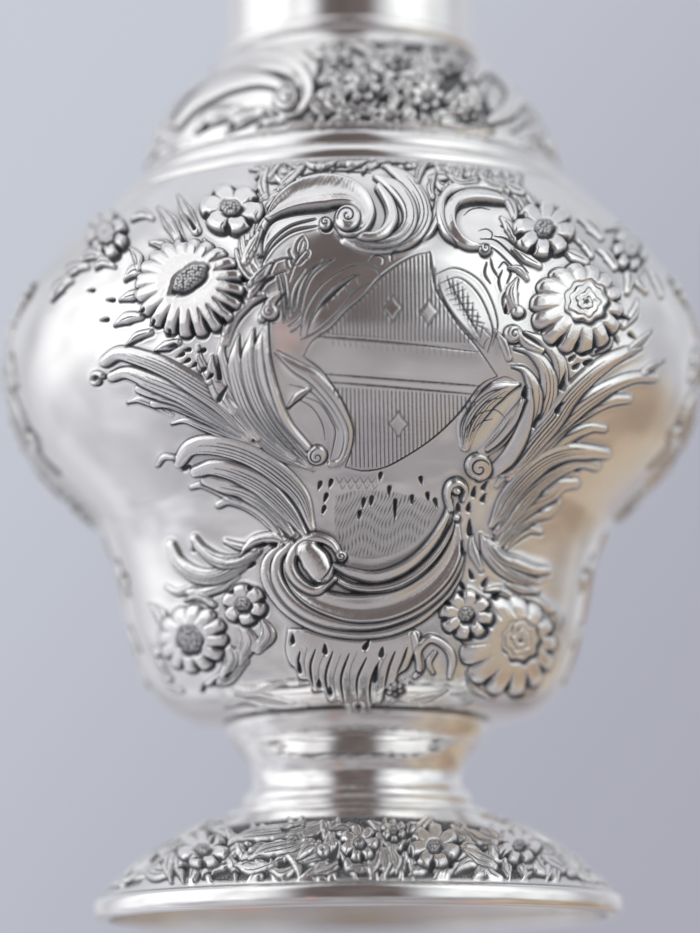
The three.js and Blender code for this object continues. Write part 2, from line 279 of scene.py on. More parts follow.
def cut(sheet, points, width, depth, dark=0.85, taper=1.0, exact=False):
    """A traced line, finer at both ends, with a slight lip thrown up on each side."""
    line = np.asarray(points, float) if exact else spline(points)
    window, distance, place, _ = sheet.near(line, 2.6 * width + 1.5)
    swell = np.clip(4 * place * (1 - place) + 0.12, 0, 1) ** 0.5
    half_width = width * (1 - taper * (1 - swell))
    groove = np.clip(1 - (distance / np.maximum(half_width, 0.25)) ** 2, 0, 1)
    lip = np.exp(-((distance - 1.75 * half_width) / (0.65 * half_width + 0.15)) ** 2)
    sheet.height[window] += 0.30 * depth * lip * (half_width > 0.3) - depth * groove
    sheet.darken(window, dark * smooth(groove, 0.0, 0.6))


def cuts(sheet, table, width, depth, dark=0.85, taper=1.0):
    for points, in rows(table):
        cut(sheet, points, width, depth, dark, taper)


def engrave(sheet, table, width, depth):
    """Traced lines in full tarnish that keep more of their width at the ends."""
    cuts(sheet, table, width, depth, dark=1.0, taper=0.75)


def leaf(sheet, points, widths, height, veins=1, section="lobe", tip=False, dark=1.0):
    """A leaf lobe from its tip to its root, with chased veins. With tip its end is broad."""
    widths = list(widths)
    widths[0] = max(widths[0], 0.60 * max(widths)) if tip else min(widths[0], 1.0)
    widest = max(widths)
    is_long = len(points) > 3
    heights = 0.66 * height * np.array([1.12, 1, 0.92, 0.8] if is_long else [1])
    band(sheet, points, widths, heights, section, dark=dark, melt=1.0 if is_long else 0.5)
    line = spline(points)
    count = len(line)
    tangent = np.gradient(line, axis=0)
    tangent /= (np.hypot(*tangent.T) + 1e-9)[:, None]
    normal = np.stack([-tangent[:, 1], tangent[:, 0]], 1)
    half_width = spread(np.linspace(0, 1, count), widths)

    def vein(share, start, stop, shortest, width, depth, dark):
        if stop - start > shortest:
            shifted = line + normal * (half_width * share)[:, None]
            cut(sheet, shifted[start:stop], width, depth, dark, exact=True)

    veins += widest > 7.4 and is_long
    for i in range(veins):
        share = 0.12 if veins == 1 else -0.50 + 1.0 * i / (veins - 1)
        vein(share, int(count * (0.16 + 0.10 * ((i + 1) % 2))),
             int(count * (0.96 - 0.10 * (i % 2))), 3, 0.7, 0.06, 0.9)
    if veins > 1 and widest > 6:  # short fine strokes between the veins, near the root
        for share in (-0.72, -0.22, 0.25, 0.75):
            vein(share, int(count * 0.52), int(count * 0.94), 4, 0.55, 0.035, 0.65)


def leaves(sheet, table, height=0.6, veins=1, section="lobe", tip=False, dark=1.0):
    """Leaves from rows of points | half widths | height and veins; the last may be left out."""
    for points, widths, *own in rows(table):
        own_height, own_veins = own[0] if own else (height, veins)
        leaf(sheet, points, widths, own_height, int(own_veins), section, tip, dark)


def drop(sheet, x, y, length, width, angle):
    """A teardrop punch mark; angle is the way its tail points, 0 to the right and 90 up."""
    way_x, way_y = math.cos(math.radians(angle)), -math.sin(math.radians(angle))
    points = [(x + way_x * length * k, y + way_y * length * k) for k in (-.35, 0, .65)]
    window, distance, place, _ = sheet.near(spline(points, 1.0), width + 2)
    half_width = width * 0.5 * np.clip(1.15 * (1 - place) ** 0.7, 0.04, 1)
    mask = smooth(half_width - distance, -0.5, 0.6)
    sheet.height[window] -= 0.45 * mask
    sheet.darken(window, mask)


def drops(sheet, table):
    """Punch marks from rows of x, y, length, width, angle."""
    for values, in rows(table):
        drop(sheet, *values)


def stipple(x, y, size, seed=0.0):
    """Close, uneven punch dots, 0 to 1."""
    grid_x, grid_y = x / size, y / size
    best = np.full(np.broadcast(grid_x, grid_y).shape, 9.0, np.float32)
    cell_x, cell_y = np.floor(grid_x), np.floor(grid_y)
    for i in (-1, 0, 1):
        for j in (-1, 0, 1):
            dot_x, dot_y = cell_x + i, cell_y + j
            shift_x = np.abs(np.sin(dot_x * 127.1 + dot_y * 311.7 + seed) * 43758.5453) % 1
            shift_y = np.abs(np.sin(dot_x * 269.5 + dot_y * 183.3 + seed) * 28001.8384) % 1
            squared = ((grid_x - dot_x - 0.2 - 0.6 * shift_x) ** 2
                       + (grid_y - dot_y - 0.2 - 0.6 * shift_y) ** 2)
            best = np.minimum(best, squared)
    return 1 - smooth(np.sqrt(best), 0.1, 0.65)


def matted_ground(sheet, window, mask, dot, sink, lift, dark, bright):
    """Sunk, stippled ground; lift and bright are what the dots add to its height and take
    from its tarnish."""
    dots = stipple(*sheet.grid(window), dot)
    sheet.height[window] += mask * (-sink + lift * dots)
    sheet.darken(window, mask * (dark - bright * dots))
    sheet.matt[window] = np.maximum(sheet.matt[window], mask)


def flower(sheet, x, y, radius_x, radius_y, petals, height, heart, offset=(0, 0), turn=0.0,
           rose=False, heart_angle=0):
    """A flower of cupped petals round (x, y), in an ellipse whose centre is offset away.
    heart is the half axes of its middle, which is wound for a rose and stippled otherwise."""
    height = 0.72 * height
    off_x, off_y = offset
    reach = max(radius_x, radius_y) + max(abs(off_x), abs(off_y)) + 5
    window, grid_x, grid_y = sheet.around(x, y, reach)
    dx, dy = grid_x - x + 0.003, grid_y - y + 0.003
    radius = np.sqrt(dx * dx + dy * dy)
    way_x, way_y = dx / radius, dy / radius
    # distance from (x, y) to the ellipse, in each direction
    square = (way_x / radius_x) ** 2 + (way_y / radius_y) ** 2
    linear = -2 * (way_x * off_x / radius_x ** 2 + way_y * off_y / radius_y ** 2)
    constant = (off_x / radius_x) ** 2 + (off_y / radius_y) ** 2 - 1
    root = np.sqrt(np.maximum(linear * linear - 4 * square * constant, 0))
    outer = (-linear + root) / (2 * square)
    on_ellipse = np.arctan2((way_y * outer - off_y) / radius_y,
                            (way_x * outer - off_x) / radius_x)
    direct = np.arctan2(way_y, way_x)
    angle = np.where(np.abs(on_ellipse - direct) > math.pi, on_ellipse,
                     on_ellipse * 0.65 + 0.35 * direct)
    many = petals > 9
    # the petals turn a little as they run outwards
    phase = (angle / (2 * math.pi) * petals + turn + 0.10 * (radius / outer)) % 1.0
    off_middle = np.abs(phase - 0.5) * 2
    edge = outer * (1 - (0.06 + 0.55 / petals) * off_middle ** 2.4)
    inset = edge - radius
    ratio = np.clip(radius / edge, 0, 1)
    dome = (([0, .25, .55, .78, .93, 1], [.50, .74, 1.0, .94, .66, .30]) if many else
            ([0, .25, .5, .75, .92, 1], [.34, .50, .76, .98, .84, .46]))
    raised = height * np.interp(ratio, *dome).astype(np.float32)
    from_middle = off_middle * math.pi * radius / petals
    half_petal = math.pi * radius / petals
    start = 0.46 if many else 0.30
    raised = raised * (1 - (0.20 if many else 0.26) * smooth(ratio, start, 0.95)
                       * off_middle ** 2.0)
    # seams are cut deeper on the shaded side, and their tarnish is painted darker there as shade
    heavy = 0.5 + 0.5 * np.clip(0.45 * way_x + 0.8 * way_y, -1, 1)
    wide = 0.75 + 1.5 * smooth(ratio, 0.55, 1.0) * (0.5 + heavy)
    seam = (np.exp(-((half_petal - from_middle) / wide) ** 2) * smooth(ratio, start, start + 0.22)
            * (0.22 + 0.90 * heavy if many else 0.55 + 0.55 * heavy))
    raised = raised - (0.26 if many else 0.30) * height * seam
    if many:  # fine strokes along each petal
        stroke = np.abs((phase * 4) % 1.0 - 0.5) * 2 * math.pi * radius / petals / 4
        raised = raised - 0.03 * ((1 - smooth(stroke, 0.0, 0.6)) * smooth(ratio, 0.34, 0.5)
                                  * (1 - smooth(ratio, 0.62, 0.75)))
    sheet.lay(window, inset, raised, 0.05, 0.13, 1.25)
    # seam tarnish, with painted shade on the shaded side
    seam_patina_and_shade = np.clip(1.15 * seam * smooth(ratio, start + 0.12, start + 0.34), 0, 1)
    sheet.darken(window, seam_patina_and_shade * smooth(inset, -1, 1))
    # hollows between the petal ends; on flowers of many petals they are deeper and darker on the
    # shaded side, that darkening being painted shade
    hole = (np.exp(-((half_petal - from_middle) / (half_petal * 0.30 + 0.5)) ** 2)
            * smooth(ratio, 0.70, 0.86) * (1 - smooth(ratio, 0.98, 1.06))
            * (0.4 + 0.6 * heavy if many else 1.0))
    hole = smooth(hole, 0.30, 0.62) * smooth(inset, -1.5, 0.5)
    if many:
        hole = hole * smooth(heavy, 0.40, 0.75)
    sheet.height[window] -= 0.45 * height * hole
    sheet.darken(window, hole)
    # the heart
    cosine, sine = math.cos(math.radians(heart_angle)), math.sin(math.radians(heart_angle))
    heart_x = (dx * cosine - dy * sine) / heart[0]
    heart_y = (dx * sine + dy * cosine) / heart[1]
    out = np.sqrt(heart_x * heart_x + heart_y * heart_y) + 1e-5
    around = np.arctan2(heart_y, heart_x)
    out = out / (1 + (0.05 * np.cos(9 * around) if rose
                      else 0.10 * np.abs(np.cos(3.0 * around)) - 0.03))
    heart_inset = (1 - out) * min(heart)
    if rose:
        ray = out * (1 + 0.05 * np.cos(3 * around + 0.8) + 0.07 * np.cos(5 * around - x))
        coil = ray * 3.1 - around / (2 * math.pi)
        wound = (coil + 0.12 * np.sin(4 * around + 7 * ray)) % 1.0
        ring = smooth(wound, 0.0, 0.75) * (1 - smooth(wound, 0.86, 1.0))
        lobes = 0.5 + 0.5 * np.cos(around * 5 + np.floor(coil) * 2.1)
        raised = height * (0.70 + 0.22 * ring * (0.45 + 0.55 * lobes) + 0.14 * (1 - out))
        sheet.lay(window, heart_inset, raised, 0.0, 0.20, 1.2)
        seam = (1 - smooth(np.abs(wound - 0.93), 0.05, 0.19)) * (0.45 + 0.55 * lobes)
        sunk = (np.maximum(seam, 0.8 * (1 - smooth(ray, 0.08, 0.16)))
                * smooth(heart_inset, 0.5, 1.5))
        sheet.height[window] -= 0.14 * sunk
        sheet.darken(window, sunk)
    else:
        dots = stipple(grid_x, grid_y, 3.0, x)
        raised = height * (0.56 + 0.12 * np.clip(1 - out * out, 0, 1)) + 0.09 * dots
        sheet.lay(window, heart_inset, raised, 0.0, 0.26, 1.3)
        sheet.darken(window, (0.80 - 0.65 * dots) * smooth(heart_inset, 0.2, 1.2))
        sheet.matt[window] = np.maximum(sheet.matt[window], smooth(heart_inset, 0, 1))


def inside(sheet, outline):
    """The window of a closed outline, and the distance inside it (negative outside)."""
    line = spline(list(outline) + [outline[0]])
    window, distance, _, _ = sheet.near(line, 4.0)
    grid_x, grid_y = sheet.grid(window)
    odd = np.zeros((grid_y.shape[0], grid_x.shape[1]), bool)
    for (xa, ya), (xb, yb) in zip(line[:-1], line[1:]):
        if ya == yb:
            continue
        level = (grid_y >= min(ya, yb)) & (grid_y < max(ya, yb))
        odd ^= level & (grid_x < (xb - xa) * (grid_y - ya) / (yb - ya) + xa)
    return window, np.where(odd, distance, -distance)


def spiral(x, y, radius, angle, turns, end_radius):
    """Points of a spiral that runs inwards from an angle in degrees (90 is up)."""
    place = np.linspace(0, 1, 60)
    angles = np.radians(angle) + 2 * math.pi * turns * place
    radii = radius + (end_radius - radius) * place ** 0.85
    return np.stack([x + radii * np.cos(angles), y - radii * np.sin(angles)], 1)


def domed(distance, radius):
    return np.sqrt(np.clip(1 - (distance / radius) ** 2, 0, 1))


def ball(sheet, x, y, radius, height, eye=0.0):
    """A bead, with a sunk eye of the given radius in it."""
    window, grid_x, grid_y = sheet.around(x, y, radius + 4)
    distance = np.sqrt((grid_x - x) ** 2 + (grid_y - y) ** 2)
    raised = 0.78 * height * (0.4 + 0.6 * domed(distance, radius))
    sheet.lay(window, radius - distance, raised, 0.1, 0.14, 1.1)
    if eye:
        mask = smooth(eye - distance, -0.6, 0.6)
        sheet.height[window] -= 0.35 * mask
        sheet.darken(window, mask)


def curl(sheet, x, y, radius, angle, height, direction=1):
    """The rolled end of a scroll: a low dome with a spiral line chased in it."""
    window, grid_x, grid_y = sheet.around(x, y, radius + 4)
    distance = np.sqrt((grid_x - x) ** 2 + (grid_y - y) ** 2)
    raised = 0.72 * height * (0.55 + 0.45 * domed(distance, radius))
    sheet.lay(window, radius - distance, raised, 0.1, 0.11, 0.9)
    line = spiral(x, y, radius * 0.80, angle, 1.3 * direction, radius * 0.10)
    cut(sheet, line, 0.8 + 0.03 * radius, 0.07 + 0.005 * radius, 1.0, 0.6, exact=True)


def thicket(sheet, x0, x1, top, low, step, row_count, size, width, height, seed):
    """Small leaves lying every way, filling a band between the lines top(x) and low(x)."""
    number = 0
    x = x0
    while x < x1:
        for j in range(row_count):
            number += 1
            first = chance(number, seed)
            second = chance(number, seed, 78.233, 24634.6345)
            mid_x = x + (second - .5) * step * .8
            mid_y = top(x) + (low(x) - top(x)) * (j + .5 + (first - .5) * .5) / row_count
            angle = 2 * math.pi * (first * 0.9 + 0.31 * (number % 3))
            way_x, way_y = math.cos(angle), math.sin(angle)
            bend = (second - .5) * size * .5
            leaf(sheet, [(mid_x + way_x * size * .6, mid_y + way_y * size * .6),
                         (mid_x - way_y * bend, mid_y + way_x * bend),
                         (mid_x - way_x * size * .5, mid_y - way_y * size * .5)],
                 [.8, width, width * .5], height * (.8 + .4 * second))
        x += step


def hatch(sheet, outline):
    """Fine upright lines inside an outline."""
    pitch = 4.1
    window, inset = inside(sheet, outline)
    grid_x, grid_y = sheet.grid(window)
    from_cut = np.abs(((grid_x - grid_y * 0.02) / pitch) % 1.0 - 0.5) * pitch
    groove = np.clip(1 - (from_cut / 0.85) ** 2, 0, 1) * smooth(inset, 0, 1.2)
    sheet.height[window] -= 0.06 * groove
    sheet.darken(window, 0.95 * groove)


def finish_sheet(sheet, pillow):
    """Softens the work as hammered sheet metal, swells the ground under it by pillow (mm),
    and leaves tarnish in its hollows."""
    raised = smooth(sheet.height, 0.10, 0.35)
    ground = blur(blur(raised, 1.5), 4.5 / STEP)
    hollow = blur(sheet.height, 1.6 / STEP) - sheet.height
    wide_hollow = blur(sheet.height, 6.0 / STEP) - sheet.height
    sheet.height = blur(sheet.height, 0.35 / STEP)
    x, y = sheet.xs[None, :], sheet.ys[:, None]
    tooth = (np.sin(x * 1.31 + 2.2 * np.sin(y * 0.31)) * np.sin(y * 1.17 + 2.0 * np.sin(x * 0.27))
             + 0.7 * np.sin(x * 0.53 + y * 0.47 + np.sin(y * 0.2) * 2))
    sheet.height += pillow * ground + 0.006 * tooth * raised
    dark = np.maximum(sheet.tarnish * 1.15, 0.75 * smooth(hollow, 0.055, 0.15))
    dark = np.clip(dark, 0, 1) + 0.30 * smooth(wide_hollow, 0.08, 0.30) * (1 - raised)
    sheet.tarnish = np.clip(dark, 0, 1)
    sheet.matt = np.clip(blur(sheet.matt, 1.2), 0, 1)


# ---------------------------------------------------------------- the shield on each face
def crest(sheet):
    """Hatched fields with three diamonds, above and below a plain band."""
    hatch(sheet, parse("429,252 437,275 444,300 459,326 472,344 322,334 330,328 363,296 396,265"))
    hatch(sheet, parse("327,386 470,397 456,416 429,441 396,462 374,468 350,465 352,440 351,423 "
                       "346,409"))
    for x, y in parse("392,308 428,312 398,424"):
        diamond = [(x, y - 13), (x + 4, y - 6), (x + 9, y), (x + 4, y + 6), (x, y + 13),
                   (x - 4, y + 6), (x - 9, y), (x - 4, y - 6)]
        window, inset = inside(sheet, diamond)
        mask = smooth(inset, -0.5, 0.8)
        line = np.exp(-(inset / 0.9) ** 2)
        sheet.height[window] = sheet.height[window] * (1 - mask) + 0.02 * mask - 0.06 * line
        sheet.tarnish[window] = np.maximum(sheet.tarnish[window] * (1 - mask), 0.7 * line)
    engrave(sheet, """318,336 400,343 478,352; 325,374 400,380 480,386
    329,382 400,388 471,394""", 1.125, 0.108)
    for x in range(332, 476, 6):  # the band's shaded upper edge
        drift = (x - 320) * 0.09
        cut(sheet, [(x, 338 + drift), (x + 1, 345 + drift)], .55, .04, .4)


def shield(sheet):
    """The shield's outline, with engraved leaves at its upper corners."""
    engrave(sheet, """
    429,252 413,256 396,265 379,278 363,296 346,311 330,328 313,340 303,356
    429,252 434,285 442,301 459,326 476,346 497,376
    497,376 479,386 456,416 429,441 396,462 379,469 362,471 345,467
    345,467 351,449 353,429 346,409 335,389 320,369 303,356""", 1.1875, 0.1215)
    # corner leaves, then a sprig with a bud, then blades of grass
    engrave(sheet, """
    300,336 305,310 321,285 346,268 363,265 376,270 379,276
    306,338 312,314 327,292 349,276 368,276; 300,340 318,330 338,312 354,292 372,280
    433,275 454,268 476,278 489,296 497,323 492,346; 439,283 459,278 479,296 492,329 487,353
    437,285 446,304 462,326 484,350; 449,283 462,306 480,338
    368,262 374,256 383,258 382,266 374,266; 391,262 391,254 399,252
    252,288 258,276 271,264 287,258 297,261; 256,296 264,283 277,274 288,271
    288,283 292,270 297,258 300,249 303,239; 298,257 296,249 298,242 303,236
    298,257 304,251 306,244 303,236; 296,262 300,256 305,250 309,252 307,257 300,261
    294,266 300,264 306,258 309,259; 296,262 292,258 289,251 291,249
    292,270 288,266 287,259 291,260 293,266; 284,323 282,301 278,278 274,272
    286,321 285,300 281,277 278,271; 289,318 287,301 284,278 281,271
    291,313 290,298 294,284 305,269; 293,312 294,299 298,286 306,273
    295,309 298,289 306,274 322,259; 298,311 302,292 307,278 317,266 335,258
    300,312 305,290 312,276 322,267 334,259; 288,326 296,320 302,312
    290,332 297,328 300,324""", 1.0, 0.0945)
    for i in range(8):  # lattice in the left leaf
        f = i / 7
        cut(sheet, [(308 + 5 * f, 330 - 14 * f), (316 + 10 * f, 312 - 14 * f),
                    (330 + 16 * f, 300 - 18 * f), (342 + 20 * f, 286 - 14 * f)], .8, .08, .9)
        if i % 2:
            cut(sheet, [(318 + 38 * f, 304 - 28 * f), (322 + 38 * f, 314 - 28 * f)], 1.1, .08, .8)
    for i in range(9):  # lattice in the right leaf
        f = i / 8
        cut(sheet, [(446 + 42 * f, 276 + 56 * f * f + 6 * f), (449 + 36 * f, 286 + 56 * f),
                    (452 + 31 * f, 296 + 52 * f)], .8, .08)
        cut(sheet, [(444 + 10 * f + 30 * f * f, 290 + 40 * f), (462 + 30 * f, 282 + 56 * f)],
            .7, .07, .8)


# ---------------------------------------------------------------- the chased design of a face
def combed_ground(sheet):
    """Wavy combed strokes above the lower scroll."""
    window, inset = inside(sheet, parse(
        "334,495 360,489 400,492 437,504 434,520 415,543 385,557 357,558 340,548 333,520"))
    x, y = sheet.grid(window)
    wave = ((x - 350) * 0.95 + (y - 540) * 0.30 + 2.0 * np.sin(y / 9.0)
            + 0.6 * np.sin(y / 2.6 + x / 5.0))
    lines = np.abs((wave / 3.3) % 1.0 - 0.5) * 2
    mask = smooth(inset, 0, 3)
    stroke = 0.65 + 0.35 * np.sin(y / 2.1 + 3.0 * np.sin(x / 7.0))
    sheet.height[window] += mask * (0.06 * lines - 0.06)
    sheet.darken(window, mask * (0.10 + 0.72 * stroke * (1 - smooth(lines, 0.10, 0.60))))
    sheet.matt[window] = np.maximum(sheet.matt[window], mask * 0.8)


def apron(sheet):
    """The leaves and scalloped apron under the lower scroll."""
    leaves(sheet, """
    236,694 262,697 292,703|2 4 2; 250,704 280,708 306,706|2 3 2; 446,690 428,697 408,700|2 4 2
    470,702 446,706 420,706|2 3 2; 226,706 244,702 262,706|1.5 3 1.5
    384,706 396,700 410,702|1.5 3 1.5""", .22, 1, dark=.5)
    window, inset = inside(sheet, parse(
        "288,628 286,648 290,662 296,668 300,678 309,679 314,690 324,690 330,700 340,699 347,710 "
        "358,716 369,713 372,702 381,700 384,688 393,686 397,674 406,668 412,654 417,630 365,636 "
        "320,630"))
    raised = 0.30 + 0.34 * np.sqrt(np.clip(inset / 26, 0, 1))
    sheet.lay(window, inset, raised.astype(np.float32), 0.1, 0.15, 1.1)
    cuts(sheet, """301,650 299,660 301,672; 316,648 311,664 313,684; 333,650 326,672 328,692
    349,652 341,676 344,700; 366,656 357,676 357,694; 378,660 370,680 370,700
    394,650 388,666 384,684; 406,646 402,658 396,672""", 1.7, .22, 1.0, 0.9)
    cuts(sheet, """308,646 305,660 307,674; 324,652 319,668 321,686; 341,652 334,674 336,694
    357,650 350,668 350,690; 386,652 379,668 377,686""", .7, .05, .6)
    bands(sheet, """412,634 416,650 420,668 414,676 | 3 4 4 2 | .5
    418,668 417,650 429,638 444,645 451,658 449,676 | 2.5 3.5 4 4 4 2 | .65
    432,672 428,662 434,652 | 2 3 2 | .4""")
    ball(sheet, 358, 703, 7.5, 0.7, 3.2)
    bands(sheet, "348,700 352,711 360,715 368,708 | 2 3 3 2 | .6")
    flower(sheet, 394, 688, 9, 8, 6, .45, (2.5, 2.5))


def left_leaves(sheet):
    """The long frame leaf and the three sprays left of the shield."""
    leaves(sheet, """
    226,335 221,353 226,378 238,403 254,428 280,452 312,469 | 3 5.5 7 8 8 6 2 | .62 2
    238,336 235,360 240,385 250,410 268,433 294,456 | 4 7 8 8 6 3 | .78 2
    253,330 249,353 252,378 261,404 276,428 298,452 311,465 | 5 7.5 8 7 6 4 2 | .9 2
    267,322 261,345 262,370 269,394 281,418 299,442 313,460 | 4 6.5 7 6 5 4 2 | .82 2
    """, section="left")
    leaves(sheet, """264,297 246,304 231,320 225,342 | 3 6 7 4 | .8 2
    283,292 272,301 262,318 | 3 5 4 | .7 1""")
    curl(sheet, 270, 312, 8, 60, .9)
    # upper spray
    leaves(sheet, """172,423 186,420 206,427 234,437 258,446 | 1.5 3.5 4 4 3 | .5 1
    128,402 140,399 155,404 172,414 | 1.5 4 4 1.5 | .45 1""", section="round")
    leaves(sheet, """155,403 168,403 196,412 222,423 250,438 | 3 5 6.5 6 3 | .62 2
    140,388 152,392 180,398 208,411 240,430 | 3 6 7.5 7 3 | .75 2
    113,376 128,372 152,381 184,394 216,413 250,436 | 3.5 7 8 8 7 3 | .88 2
    106,361 121,353 146,359 170,369 198,385 226,404 258,436 | 4 8 9 9 9 8 3 | 1.0 3
    """, section="round", tip=True)
    leaves(sheet, """212,356 212,372 219,390 234,408 | 2 6 7 4 | .7 1
    198,346 200,362 210,380 | 2 5 3 | .55 1""")
    band(sheet, spiral(97, 379, 7, 30, 0.8, 3), [2.6, 2.2], .6, exact=True)
    # middle spray
    leaves(sheet, """219,504 229,500 248,505 264,516 284,538 | 3 5 6 5 2 | .6 2
    192,486 204,484 222,492 240,500 | 2 4 4 2 | .5 1
    206,478 222,484 246,491 270,507 292,534 | 3 7 8 7 3 | .75 2
    196,470 214,466 238,472 264,486 288,510 306,536 | 3.5 8 9 9 7 3 | .9 3
    180,460 192,446 216,444 246,452 276,470 300,495 312,528 | 4 9 10 10 10 8 3 | 1.05 3
    """, section="round", tip=True)
    bands(sheet, "158,464 164,456 174,456 | 2 3 2 | .5")
    # lower spray
    leaves(sheet, """167,586 178,592 190,588 200,582 | 2 3.5 3.5 2 | .5 1
    190,592 204,592 222,586 238,576 | 2 5 5 2 | .6 1
    172,544 180,562 196,574 216,576 238,566 258,550 | 4 7 8 8 7 4 | .95 3
    195,538 204,550 220,560 240,560 258,550 | 3.5 6 7 6 3 | .85 2
    226,541 240,546 256,548 | 2.5 4 2 | .6 1""", section="round", tip=True)
    leaves(sheet, "242,554 254,541 272,537 288,542 | 3 5 5.5 3 | .8 1", section="round")


def lower_flowers(sheet):
    leaves(sheet, """150,604 160,612 166,628|2 6 4; 156,650 158,664 170,678|3 6 3
    150,676 164,686 182,690|2 5 2; 186,600 200,596 214,604|2 5 3; 144,636 150,646 160,652|2 4 3
    205,684 226,676 244,660|6 9 5; 240,622 248,640 240,658|6 10 6; 262,618 268,634 258,648|4 8 5
    224,640 232,656 226,672|4 8 5""", .6, 2)
    drops(sheet, "203 688 9 5 80; 215 682 9 5 60; 230 673 8 4 40")
    flower(sheet, 194, 638, 34, 34, 12, 1.15, (11, 13), turn=.3, heart_angle=10)
    flower(sheet, 245, 604, 22, 21, 6, 1.0, (6.5, 6.5), turn=.1)
    leaves(sheet, """546,604 556,618 552,634|3 7 4; 560,640 564,656 556,672|3 6 3
    540,690 528,696 512,698|3 5 3; 520,596 534,600 548,610|3 6 3; 466,672 474,686 492,696|3 6 3
    572,618 578,632 572,648|2 4 2; 484,590 500,590 516,600|2 5 3""", .6, 2)
    flower(sheet, 516, 639, 48, 50, 13, 1.15, (18, 20), (-10, 6), turn=.4, rose=True)
    flower(sheet, 464, 614, 26, 25, 8, 1.05, (7, 7), turn=.2)


def right_leaves(sheet):
    """The long frame leaf and the three sprays right of the shield."""
    leaves(sheet, """
    524,332 541,340 556,356 560,380 552,408 536,436 512,462 496,486 | 3 6 7 7 7 7 5 2 | .62 2
    514,348 530,352 544,368 547,392 538,418 522,444 500,474 | 3 6 8 8 8 6 2 | .8 2
    512,366 524,370 533,390 530,414 518,440 498,468 | 3 6 7 7 6 2 | .95 2""", section="right")
    curl(sheet, 512, 334, 9, 250, .9)
    leaves(sheet, "494,330 502,342 508,358 | 2 4 3 | .6 1")
    # upper spray
    leaves(sheet, """603,428 590,427 572,434 550,446 526,462 | 3 5 6 6 2 | .6 2
    626,398 608,400 586,409 562,423 538,446 514,470 | 3 6 8 8 7 2 | .78 2
    652,377 632,377 608,386 582,402 558,422 530,448 506,478 | 3 6 7 8 8 7 2 | .9 2
    624,352 606,361 586,376 566,396 552,416 530,440 504,472 | 4 8 9 9 9 8 2 | 1.0 3
    """, section="round", tip=True)
    leaves(sheet, """650,330 640,340 626,350|1.5 3.5 2; 640,348 630,352 620,358|1.5 3.5 2
    662,360 650,366 640,372|1.5 3.5 2""", .5, 1)
    # middle spray
    leaves(sheet, """539,531 528,529 515,536 504,548 | 3 5 5 2 | .6 1
    556,502 546,512 530,516 514,526 498,546 | 4 6 7 6 2 | .72 2
    574,482 560,484 548,494 528,504 508,520 492,548 | 4 6 8 8 7 2 | .82 2
    594,464 578,460 560,466 538,480 516,502 494,532 | 3.5 7 8 9 8 2 | .92 3
    604,452 586,450 566,450 544,458 524,474 506,496 490,526 | 4 7 8 9 8 7 2 | 1.02 3
    """, section="round", tip=True)
    # lower spray
    leaves(sheet, """471,534 472,550 480,570 | 2 5 2 | .6 1
    480,534 486,550 500,566 518,577 538,582 | 2 7 8 7 2 | .85 2""", section="round")
    leaves(sheet, "546,570 532,569 514,562 498,555 486,540 | 4 6 7 6 3 | .95 2",
           section="round", tip=True)
    leaves(sheet, "538,592 522,590 506,584 | 2 4 2 | .5 1", section="round")


def inner_loops(sheet):
    """The loops beside the shield's lower half."""
    leaves(sheet, """276,352 297,367 315,378 335,401 348,426 347,446 340,461 330,464 |
    """.strip().rstrip("|") + "| 2.5 5 6.5 6.5 6 5.5 4 3 | .72 1", section="right")
    cuts(sheet, "305,397 320,404 331,421 335,434 330,459", .9, .09)
    cuts(sheet, "296,398 312,408 322,424 325,440; 288,384 308,390 326,408 338,430", .8, .07)
    leaves(sheet, "288,406 297,396 309,388 | 2 3.5 1.5 | .45 1")
    bands(sheet, "266,327 267,353 274,386 287,420 308,446 | 2 3 3.5 3.5 3 | .75", "ridge")
    curl(sheet, 317, 454, 9.5, 100, .95)
    leaves(sheet, """518,384 500,390 482,402 468,422 464,446 | 3 9 12 11 5 | .5 4
    520,400 508,424 496,440 482,452 | 2 7 8 5 | .55 2""")
    bands(sheet, """526,390 526,408 520,431 507,454 492,469 478,477 | 2.5 5 6 6 5.5 4 | .75
    """, "left")
    bands(sheet, "522,398 513,419 498,438 486,448 | 2 3 3 2 | .6", "ridge")
    curl(sheet, 477, 465, 13, 20, 1.05)
    cuts(sheet, """461,427 469,406 484,387 503,377 516,381; 462,444 465,427 478,412 495,410 505,418
    469,433 478,423 492,419; 466,436 472,416 486,400 504,396; 472,404 486,392 506,386
    459,436 461,420 474,398 492,382""", .85, .08)


